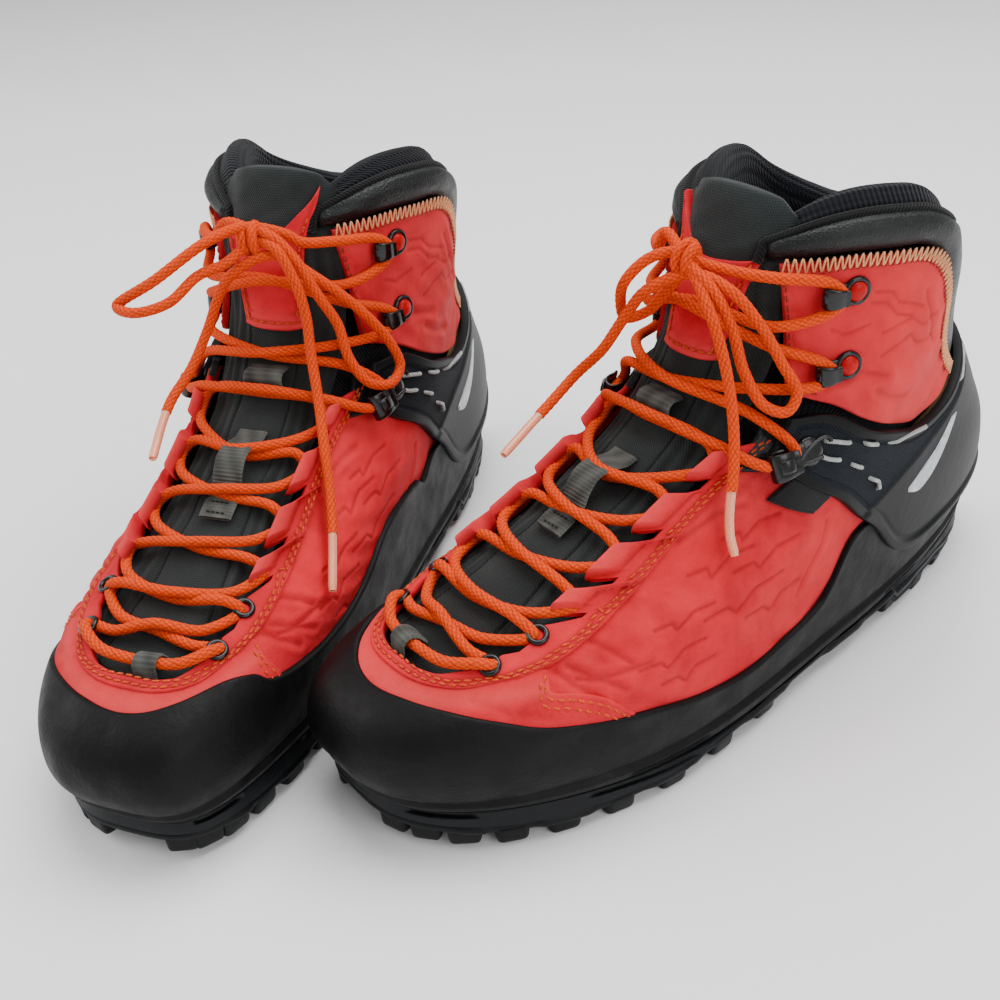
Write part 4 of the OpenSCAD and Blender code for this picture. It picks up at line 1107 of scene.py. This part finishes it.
def webbing():
    straps = [strap([[-2, 0.355, -1.5], [-2, 0.361, 0.6], [-2, 0.366, 2.8], [-2, 0.374, 3.6],
                     [-2, 0.383, 2.2], [-2, 0.39, -1.9]], 8, 1.0, 0.2),
              strap([[0, 0.588, -1.6], [0, 0.61, -1.2], [0, 0.626, -0.6], [0, 0.642, 3.0],
                     [0, 0.657, 4.6], [0, 0.672, 3.2], [0, 0.69, -0.9], [0, 0.704, -2.3]],
                    11, 1.2, 0.25),
              strap([[0, 0.763, -2.3], [0, 0.772, -0.6], [0, 0.779, 1.2], [0, 0.788, 1.0],
                     [0, 0.794, -0.8], [0, 0.8, -2.3]], 15, 1.2, 0.3),
              strap([[0, 0.588, -1.0], [0, 0.6, -0.9], [0, 0.612, -0.9]], 12, 1.0, 0.3)]
    piece("webbing_loops", *merge([s[:2] for s in straps]), WEBBING, "webbing", "webbing_loops",
          uv=np.vstack([s[2] for s in straps]))
    bars = [on_skin([[-4.5, t], [4.5, t]], 0.6) for t in (0.593, 0.607)]
    piece("webbing_stitching", *merge([stitches(b, 1.5, 1.4, 0.3) for b in bars]), BLACK_THREAD,
          "webbing")


# ------------------------------------------------------------------ rand and heel cage
RAND_TOP = [[0, 0.295], [10, 0.3], [22, 0.29], [34, 0.26], [44, 0.22], [52, 0.195],
            [62, 0.165], [72, 0.13], [82, 0.11], [94, 0.13], [98, 0.17], [103, 0.26],
            [109, 0.24], [120, 0.13], [135, 0.1], [155, 0.09], [180, 0.085],
            [205, 0.09], [225, 0.1], [240, 0.13], [251, 0.24], [257, 0.26], [262, 0.22],
            [266, 0.25], [278, 0.27], [288, 0.205], [298, 0.19], [308, 0.205], [316, 0.235],
            [322, 0.28], [332, 0.31], [346, 0.31], [360, 0.295]]


def rand():
    a, t = between([[q[0], 0.004] for q in RAND_TOP], RAND_TOP, 760, 56)
    a, t = a[:-1], t[:-1]

    def shape(a, t, u, v):
        toe = np.maximum(np.cos(np.radians(a)), 0)
        full_toe = 0.7 * toe ** 2 * np.sin(math.pi * np.clip(v / v[:, -1:], 0, 1))
        lip = 1.1 * smooth(4.2, 2.8, v)
        groove = 0.8 * bell(v - 4.9, 0.55)
        gash = sum(smooth(1.15, 0.8, np.abs(a - at) / half)
                   for at, half in ((64, 7), (296, 7), (118, 5), (242, 5)))
        gash = gash * smooth(1.1, 0.5, np.abs(v - 1.6) / 1.1)
        wave = 0.12 * np.sin(u / 11 + v / 6) + 0.08 * np.sin(u / 4.7 - v / 5)
        # painted shade in the groove and the gashes
        return (full_toe + lip - groove - 1.1 * gash + wave * smooth(5, 9, v),
                0.55 * bell(v - 4.9, 0.5) + 0.9 * gash)

    def scuffs(a, t, u, v):
        low = bell(v - 5.6, 1.6) * (0.5 + 0.5 * np.sin(u / 7.3) * np.sin(u / 2.9))
        toe = np.maximum(np.cos(np.radians(a)), 0) ** 3
        return np.clip(low * (0.25 + 0.6 * toe) * (np.sin(u / 3.1) > -0.2), 0, 1) * 0.6

    sheet("rand", a, t, 0.05, 2.0, RAND, "rand_rubber", "rand", wrap=True, radius=1.1,
          shape=shape, pale=scuffs)


CAGE_LOW = [[57, 0.69], [70, 0.62], [91, 0.46], [104, 0.28], [114, 0.13], [128, 0.105],
            [150, 0.1], [180, 0.095]]
CAGE_TOP = [[56, 0.75], [74, 0.72], [100, 0.59], [116, 0.49], [130, 0.48], [144, 0.53],
            [162, 0.6], [180, 0.63]]
# cable dashes on the cage: the line of each, from one slot to the other
DASHES = [[(75, 0.668), (80, 0.652), (86, 0.63)], [(77, 0.632), (81, 0.612), (86, 0.59)],
          [(92, 0.602), (97, 0.575)], [(91, 0.552), (95, 0.52)],
          [(103, 0.535), (109, 0.515), (115, 0.488), (119, 0.47)],
          [(100, 0.452), (103, 0.42), (104.5, 0.38)],
          [(138, 0.47), (146, 0.52), (152, 0.55)]]
# lower edge of the cage's cloth-like band, and the ribs moulded below it
CAGE_BAND = np.array([(96, 0.30), (104, 0.33), (112, 0.375), (122, 0.405), (136, 0.44),
                      (150, 0.5), (165, 0.55), (180, 0.57)])
CAGE_RIBS = [[(107, 0.36), (112, 0.25), (114, 0.17)], [(122, 0.385), (127, 0.24), (131, 0.14)],
             [(112, 0.14), (120, 0.2), (133, 0.3)]]


def heel_cage():
    """Cage with slots, ribs and a cloth-like band; the cage's angles run from 0 to 360."""
    a, t = between(round_back(CAGE_LOW), round_back(CAGE_TOP), 560, 100)
    # each cable goes in at a short slot that carries its line on
    ends = [[q[-1], [q[-1][k] + (q[-1][k] - q[-2][k]) * 0.25 for k in (0, 1)]] for q in DASHES]
    slots, ribs = ([on_skin([[sign * x % 360, y] for x, y in path]) for path in paths
                    for sign in (1, -1)] for paths in (ends, CAGE_RIBS))
    gap, rib_gap = near(off(a, t, 2.0), slots), near(off(a, t, 2.0), ribs)
    border = np.interp(np.minimum(a, 360 - a), CAGE_BAND[:, 0], CAGE_BAND[:, 1])
    cloth = smooth(border - 0.012, border + 0.012, t)

    def shape(a, t, u, v):
        d = from_edges(u, v)
        rim = 0.9 * smooth(4.2, 3.0, d) - 0.5 * bell(d - 5.0, 0.6)
        step = 0.9 * (1 - cloth)
        ridge = 0.8 * bell(rib_gap, 1.1) * (1 - cloth)
        slot = smooth(1.5, 0.9, gap)
        wave = 0.18 * np.sin(u / 13 + v / 9)
        # painted shade in the slots
        return (rim + step + ridge - 1.8 * slot + wave, 0.9 * slot)

    sheet("heel_cage", a, t, 0.2, 2.2, CAGE, "cage_tpu", "heel_cage", radius=1.0, shape=shape,
          cloth=lambda a, t, u, v: cloth * smooth(2.5, 4.5, np.minimum(v, v[:, -1:] - v)))
    tubes = []
    s = np.linspace(0, 1, 16)
    sunk_ends = 3.3 - 2.0 * smooth(0.12, 0, s) - 2.0 * smooth(0.88, 1, s)
    for path in DASHES:
        angle, level = (np.interp(s, np.linspace(0, 1, len(path)), q) for q in zip(*path))
        for sign in (1, -1):
            tubes.append(tube(spline(off(sign * angle, level, sunk_ends), step=0.6), 0.75, 8))
    piece("cage_cables", *merge(tubes), CABLE, "cable", "cage_cables")


def reflective_tabs():
    for _, word, a, t in each_side([(114, 0.285), (118, 0.262), (124, 0.3), (134, 0.4)],
                                   [(114, 0.3), (118, 0.325), (124, 0.352), (131, 0.402)], 60, 16):
        sheet(f"reflective_tab_{word}", a, t, 2.2, 1.5, SILVER, "cage_tpu", radius=0.6)


def label():
    a, t = between([[69.5, 0.566], [75, 0.53], [81, 0.487], [86, 0.45]],
                   [[74.5, 0.606], [80, 0.57], [86, 0.527], [91, 0.488]], 60, 30)
    sheet("flag_label", a, t, 1.0, 1.7, LABEL, "label", "flag_label", radius=0.8,
          shape=lambda a, t, u, v: (0.25 * np.sin(u / 4)
                                    - 0.3 * bell(np.minimum(v, v[:, -1:] - v) - 1.2, 0.35)))


# ------------------------------------------------------------------ fittings
def lathe(profile, sides=40):
    """Solid of revolution about z from a profile of (radius, z), first and last on the axis or
    closed on each other."""
    p = np.asarray(profile, float)
    k = np.arange(sides) * 2 * math.pi / sides
    ring = np.stack([p[:, None, 0] * np.cos(k)[None, :], p[:, None, 0] * np.sin(k)[None, :],
                     np.broadcast_to(p[:, None, 1], (len(p), sides))], -1)
    return ring.reshape(-1, 3), grid_faces(len(p), sides, wrap_v=True)[:, ::-1]


def sweep(path, width, wall, flare=None):
    """Rounded bar of that width (along y) swept along a path in the x-z plane."""
    p = spline(path, step=0.3)
    d = unit(np.gradient(p, axis=0))
    n = np.stack([-d[:, 1], d[:, 0]], -1)
    ring = 24
    k = np.linspace(0, 2 * math.pi, ring, endpoint=False)
    cy = np.sign(np.cos(k)) * np.abs(np.cos(k)) ** 0.35
    cz = np.sign(np.sin(k)) * np.abs(np.sin(k)) ** 0.55
    w = np.full(len(p), width) if flare is None else width * flare(np.linspace(0, 1, len(p)))
    end = np.ones(len(p))
    end[0] = end[-1] = 0.55
    off_n = cz[None, :] * wall / 2 * end[:, None]
    verts = np.stack([p[:, None, 0] + off_n * n[:, None, 0],
                      cy[None, :] * w[:, None] / 2 * end[:, None] ** 0.3,
                      p[:, None, 1] + off_n * n[:, None, 1]], -1)
    faces = grid_faces(len(p), ring, wrap_v=True)[:, ::-1]
    return verts.reshape(-1, 3), np.vstack([faces, end_caps(0, ring),
                                            end_caps((len(p) - 1) * ring, ring)[:, ::-1]])


def on_last(verts, a, t, h, sign):
    """Puts a fitting on the last: its x runs backwards round the boot, its z outwards."""
    v = verts * [sign, 1, 1]
    x, z = along(a, t), outward(a, t)
    y = np.cross(z, x)
    return off(a, t, h) + v[:, :1] * x + v[:, 1:2] * y + v[:, 2:] * z


def placed_fittings(parts, spots, h):
    """parts is [(verts, faces)] at the origin; spots is [(angle, level)] on the lateral side."""
    return merge([(on_last(v, sign * a, t, h, sign), f[:, ::sign])
                  for a, t in spots for sign in (1, -1) for v, f in parts])


def arc(cx, cz, r, a0, a1, n=8):
    k = np.radians(np.linspace(a0, a1, n))
    return [(cx + r * math.cos(q), cz + r * math.sin(q)) for q in k]


HOOK_SPOTS = [(70, 0.825), (66, 0.965)]


def ring_eyelets():
    ring = lathe([(1.85, -1.2), (1.85, 0.4)] + arc(2.7, 0.45, 0.85, 180, 0, 14)
                 + [(3.5, 0.1), (3.4, -0.2), (1.85, -1.2)], 48)
    piece("ring_eyelets", *placed_fittings([ring], [(24, 0.372), (30, 0.42)], 1.75), METAL,
          "black_metal", "ring_eyelets")


def lace_hooks():
    disc = lathe([(2.6, 1.0), (2.6, 0.2), (0.1, 0.2), (0.1, 0.0), (4.2, 0.0), (4.7, 0.4)]
                 + arc(3.8, 0.85, 0.85, 10, 170, 10) + [(2.9, 1.1), (2.6, 1.0)], 48)
    arm = sweep([(-2.5, 0.7), (-6, 0.7), (-9.0, 0.7), (-11.3, 1.7), (-11.9, 3.3), (-11.1, 5.0),
                 (-8.8, 5.75), (-6.2, 5.5), (-5.0, 5.8)], 6.6, 1.15,
                lambda s: 0.8 + 0.25 * np.sin(math.pi * np.clip(s * 1.1, 0, 1)))
    rib = sweep([(-11.1, 5.2), (-12.4, 3.6), (-12.0, 2.0)], 3.0, 0.8)
    piece("lace_hooks", *placed_fittings([disc, arm, rib], HOOK_SPOTS, 0.05), METAL,
          "black_metal", "lace_hooks")
    dome = lathe([(0.01, 2.7), (1.3, 2.6), (2.4, 2.3), (3.1, 1.7), (3.3, 0.5), (0.01, 0.4)], 36)
    piece("hook_rivets", *placed_fittings([dome], HOOK_SPOTS, 0.05), ENAMEL, "black_metal")


def lock_hooks():
    base = lathe([(0.01, 1.2), (2.8, 1.2), (4.2, 1.0), (4.8, 0.5), (4.9, 0.0), (0.01, 0.0)], 40)
    arm = sweep([(-1.5, 0.9), (-7, 0.8), (-12.6, 0.8), (-15.2, 1.9), (-15.8, 3.6), (-15.0, 5.3),
                 (-12.4, 6.2), (-8.4, 5.8), (-6.6, 6.0)], 9.0, 1.3,
                lambda s: 0.82 + 0.22 * np.sin(math.pi * s))
    block = sweep([(-14.4, 6.4), (-12.2, 7.3), (-9.6, 6.7)], 4.2, 1.1)
    piece("lock_hooks", *placed_fittings([base, arm, block], [(72, 0.655)], 2.9), METAL,
          "black_metal", "lock_hooks")
    # cable loop round the back of the lock hook's base, into the first slots of the cage
    x = np.array([(76.5, 0.664), (75.0, 0.677), (72.5, 0.683), (70.5, 0.672), (70.3, 0.652),
                  (71.5, 0.634), (74, 0.628), (77.5, 0.63)])
    loops = [tube(spline(off(sign * x[:, 0], x[:, 1], 3.9), step=0.6), 0.7, 8) for sign in (1, -1)]
    piece("lock_loops", *merge(loops), METAL, "black_metal")
    # dark tab between the throat and the lock hook, stitched under the cage
    for _, word, a, t in each_side([(50, 0.668), (56, 0.655), (62, 0.642), (69, 0.628)],
                                   [(48, 0.745), (55, 0.735), (62, 0.71), (69, 0.69)], 60, 36):
        sheet(f"lock_tab_{word}", a, t, -1.0, 2.6, COLLAR, "cage_tpu",
              shape=lambda a, t, u, v: 0.3 * np.sin(u / 3.2) * np.sin(v / 4))


# ------------------------------------------------------------------ sole
TREAD_FRONT = np.array([[-150, 12], [-140, 10], [-125, 8], [-108, 6], [-92, 5], [-55, 5],
                        [-38, 6], [-18, 7], [6, 7.5], [62, 7.5]], float)
TREAD_HEEL = np.array([[66, 7.5], [68, 5], [135, 5], [150, 6.5]], float)


def tread(y):
    """Height of the tread's base above the floor, which its lugs reach down to."""
    return np.where(y < 64, np.interp(y, TREAD_FRONT[:, 0], TREAD_FRONT[:, 1]),
                    np.interp(y, TREAD_HEEL[:, 0], TREAD_HEEL[:, 1]))


def rim_point(a, out, z):
    """Point level with z, outside the sole's edge by a distance."""
    a = np.asarray(a, float)
    d = skin(a + 1, 0) - skin(a - 1, 0)
    flare = unit(np.stack([d[..., 1], -d[..., 0], np.zeros_like(d[..., 0])], -1))
    q = skin(a, 0) + np.asarray(out)[..., None] * flare
    q[..., 2] = z
    return q


def sole_side(name, rows, material, slot):
    """Side wall of a sole layer from rows of (out, z) along the rim, closed above and below."""
    a = np.concatenate([np.linspace(0, 60, 240), np.linspace(60, 120, 160)[1:],
                        np.linspace(120, 240, 320)[1:], np.linspace(240, 300, 160)[1:],
                        np.linspace(300, 360, 240)[1:-1]])
    y = skin(a, 0)[:, 1]
    foot, top = tread(y), skin(a, 0)[:, 2]
    outs, zs, dark, pale = rows(a, y, foot, top)
    p = rim_point(a[:, None], outs, zs)
    n, m = p.shape[:2]
    # close over and under with strips between the two sides
    extra = []
    mirror_index = (n - np.arange(n)) % n
    for row, flip in ((0, False), (m - 1, True)):
        half = np.arange(0, n // 2)
        q = np.stack([half * m + row, (half + 1) * m + row,
                      mirror_index[half + 1] % n * m + row, mirror_index[half] * m + row], -1)
        extra.append(q[:, ::-1] if flip else q)
    piece(name, p.reshape(-1, 3), np.concatenate([grid_faces(n, m, wrap_u=True)] + extra), material,
          slot, name, attrs={"dark": dark, "pale": pale},
          uv=flat_uv(np.repeat(distances(p[:, 0])[:, None], m, 1), zs))


def midsole():
    def rows(a, y, foot, top):
        s = np.linspace(0, 1, 40)[None, :]
        low = foot + 2.55
        z = low[:, None] + (top - 0.2 - low)[:, None] * s
        side = np.minimum(a, 360 - a)[:, None]
        heel = smooth(105, 130, side)
        toe = smooth(45, 15, side)
        profile = 2.1 - 1.9 * s ** 1.2 + 1.2 * heel * np.sin(math.pi * np.clip(s * 1.15, 0, 1))
        ledge = 1.6 * heel * smooth(0.62, 0.74, s) * smooth(0.9, 0.84, s)
        lip = 1.1 * smooth(0.88, 0.93, s)
        depth = (top - 0.2)[:, None] - z
        slot = 0.8 * bell(depth - 1.9, 0.4)
        slit_a = smooth(1.1, 0.8, np.abs(side - 60) / 10) + smooth(1.1, 0.8, np.abs(side - 22) / 8)
        slit = smooth(1.3, 0.7, np.abs(depth - 3.6) / 0.7) * slit_a
        line2 = 0.6 * bell((z - low[:, None]) - 3.0, 0.5) * smooth(95, 115, side)
        facet = 0.8 * smooth(0.2, 0.8, np.abs(((side - 66) / 13) % 2 - 1)) * smooth(0.55, 0.2, s) \
            * smooth(45, 60, side) * (1 - toe)
        out = profile + ledge + lip - slot - 1.4 * slit - line2 + facet
        # painted shade in the slot, the slits and the line groove
        dark = np.clip(0.7 * slot + 0.9 * slit + 0.5 * line2, 0, 1)
        pale = 0.35 * smooth(0.9, 0.96, s) * (0.5 + 0.5 * np.sin(a[:, None] * 1.7))
        return out, z, dark, pale
    sole_side("midsole", rows, MIDSOLE, "midsole_foam")


def lug_block(x, y, w, l, spin):
    """Tapered lug with chamfered foot, hanging from the tread at a place."""
    z = float(tread(np.array(float(y))))
    levels = [(1.2, 1.0), (0.2, 1.0), (-3.6, 0.95), (-4.6, 0.9), (-5.0, 0.8)]
    ring = 28
    k = np.linspace(0, 2 * math.pi, ring, endpoint=False) + math.pi / ring
    cx = np.sign(np.cos(k)) * np.abs(np.cos(k)) ** 0.3 * w / 2
    cy = np.sign(np.sin(k)) * np.abs(np.sin(k)) ** 0.3 * l / 2
    c, s = math.cos(math.radians(spin)), math.sin(math.radians(spin))
    rings = []
    for dz, scale in levels:
        px, py = cx * scale, cy * scale
        rings.append(np.stack([x + px * c - py * s, y + px * s + py * c,
                               np.full(ring, z + dz)], -1))
    verts = np.concatenate(rings)
    faces = grid_faces(len(levels), ring, wrap_v=True)
    return verts, np.vstack([faces, end_caps((len(levels) - 1) * ring, ring)])[:, ::-1]


def rim_turn(a):
    """Turn of a lug that lies square to the rim, in degrees."""
    d = along(a, 0.0)
    turn = math.degrees(math.atan2(d[1], d[0])) - 90
    return (turn + 90) % 180 - 90


def outsole():
    def rows(a, y, foot, top):
        s = np.linspace(0, 1, 14)[None, :]
        z = foot[:, None] + 2.6 * s
        side = np.minimum(a, 360 - a)[:, None]
        tooth = 0.9 * smooth(0.35, 0.65, np.abs(((side - 27) / 9.5) % 2 - 1)) * smooth(20, 30, side)
        out = 1.0 + 1.0 * np.sin(math.pi * np.clip(0.25 + s * 0.7, 0, 1)) + tooth
        # painted shade along the top of the wall, under the midsole's overhang
        return out + 0 * z, z, 0.5 * smooth(0.85, 1.0, s) + 0 * z, 0 * z
    sole_side("outsole", rows, TREAD, "sole_rubber")
    lugs = [lug_block(x, y, 15, 9, 28 if x > 0 else -28)
            for y in np.arange(-104, -35, 17) for x in (-13, 11)]
    lugs += [lug_block(x, 132.5, 13, 10, x * 1.5) for x in (-11, 11)]
    lugs += [lug_block(0, y, 15, 9, 0) for y in (84, 104)]
    # toe, ball and heel lugs along the rim: their angles, how far in, width and length
    for angles, inset, w, l in (((9, 18), 4.4, 12, 10), (np.arange(27, 84.1, 9.5), 6.6, 17.5, 11),
                                ((117, 128, 139, 150), 6.4, 17, 9.8)):
        for a in angles:
            for sign in (-1, 1):
                x, y, _ = rim_point(sign * a, -inset, 0.0)
                lugs.append(lug_block(x, y, w, l, rim_turn(sign * a)))
    piece("lugs", *merge(lugs), TREAD, "sole_rubber")


def footbed():
    """Upper face of the footbed, cupped at its edges and more so at the heel."""
    a = np.linspace(4, 176, 120)[:, None]
    s = np.linspace(0, 1, 30)[None, :]
    p = rim_point(-a, -7.4, 0.0) * (1 - s[..., None]) + rim_point(a, -7.4, 0.0) * s[..., None]
    cup = 1 + 2 * smooth(90, 115, a)
    p[..., 2] = skin(a, 0.0)[..., 2] + 7.2 + cup * (2 * np.abs(s - 0.5)) ** 6
    piece("footbed", p.reshape(-1, 3), grid_faces(120, 30), FOOTBED, "footbed_foam", "footbed",
          uv=flat_uv(*runs(p)))


# ------------------------------------------------------------------ thread
def sewing():
    for colour, paint, pitch in (("orange", ORANGE_THREAD, 3.1), ("red", RED_THREAD, 2.9)):
        rows = [stitches(on_skin(path, h), pitch, pitch * 0.74, 0.42, 0.12)
                for path, h in THREAD_ROWS[colour] if len(path) > 3]
        piece(f"stitching_{colour}", *merge(rows), paint, "coral_leather")


def overlock():
    """Zigzag over the upper edge of the red cuffs and the row of stitches at its foot."""
    top = [(35, 1.032), (44, 1.032), (54, 1.032), (66, 1.032), (78, 1.028), (91, 1.023),
           (102, 0.99), (111, 0.91), (125, 0.76), (139, 0.54)]
    parts, foot = [], []
    for sign in (1, -1):
        line = resample([[sign * q[0], q[1]] for q in top], 400)
        run = distances(on_skin(line))
        n = int(run[-1] / 2.3)
        s = np.linspace(0, run[-1], n * 2 + 1)
        mid = np.stack([np.interp(s, run, line[:, k]) for k in (0, 1)], -1)
        p = on_skin(mid)
        d = unit(np.gradient(p, axis=0))
        n_out = outward(mid[:, 0], mid[:, 1])
        across = np.cross(n_out, d) * sign
        high = (np.arange(len(s)) % 2 == 1)
        reach = np.where(high, 1.5, -2.9)
        zig = p + across * reach[:, None] + n_out * np.where(high, 1.3, 0.45)[:, None]
        parts.append(tube(spline(zig, step=0.45), 0.32, 6))
        row = p + across * -3.3 + n_out * 0.25
        foot.append(stitches(row, 2.3, 1.5, 0.34))
    piece("overlock", *merge(parts), PEACH_THREAD, "collar_leather")
    piece("overlock_foot", *merge(foot), RED_THREAD, "coral_leather")


# ------------------------------------------------------------------ hidden layers
def hidden_layers():
    """Materials of the CAD pieces that nothing replaces."""
    for _, word in SIDES:
        for node, paint in (("shank", STEEL), ("insole_board", BOARD), ("toe_puff", BOARD),
                            ("heel_counter", BOARD)):
            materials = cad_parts[f"{word}_{node}"].data.materials
            materials.clear()
            materials.append(paint)


vamp()
quarters()
eyestay()
cuffs()
collar()
collar_lining()
tongue()
tongue_top()
tongue_patch()
webbing()
rand()
heel_cage()
reflective_tabs()
label()
ring_eyelets()
lace_hooks()
lock_hooks()
midsole()
outsole()
footbed()
sewing()
overlock()
hidden_layers()


# ------------------------------------------------------------------ floor and light
def stage():
    mesh = bpy.data.meshes.new("floor")
    mesh.from_pydata([(-4, -4, 0), (4, -4, 0), (4, 4, 0), (-4, 4, 0)], [], [(0, 1, 2, 3)])
    floor = bpy.data.objects.new("floor", mesh)
    bpy.context.scene.collection.objects.link(floor)
    p = Paint("floor", Roughness=0.8)
    p.set(Base_Color=p.mix(p.noise(6, 2), (0.93, 0.93, 0.93), (0.96, 0.96, 0.96)),
          Normal=p.bump(p.noise(300, 3), 0.0001))
    mesh.materials.append(p.m)

    def area(name, at, size, power, aim=(0, 0, 0.08)):
        data = bpy.data.lights.new(name, "AREA")
        data.shape, data.size, data.energy = "SQUARE", size, power
        lamp = bpy.data.objects.new(name, data)
        bpy.context.scene.collection.objects.link(lamp)
        lamp.location = at
        lamp.rotation_euler = (Vector(at) - Vector(aim)).to_track_quat("Z", "Y").to_euler()

    area("top", (0.1, 0.35, 1.5), 1.3, 30)
    area("left", (-1.2, -0.7, 0.9), 1.0, 12)
    area("right", (1.2, -0.3, 0.7), 0.8, 7)
    world = bpy.data.worlds.new("studio")
    world.use_nodes = True
    world.node_tree.nodes["Background"].inputs[0].default_value = (1, 1, 1, 1)
    world.node_tree.nodes["Background"].inputs[1].default_value = 0.6
    bpy.context.scene.world = world


stage()
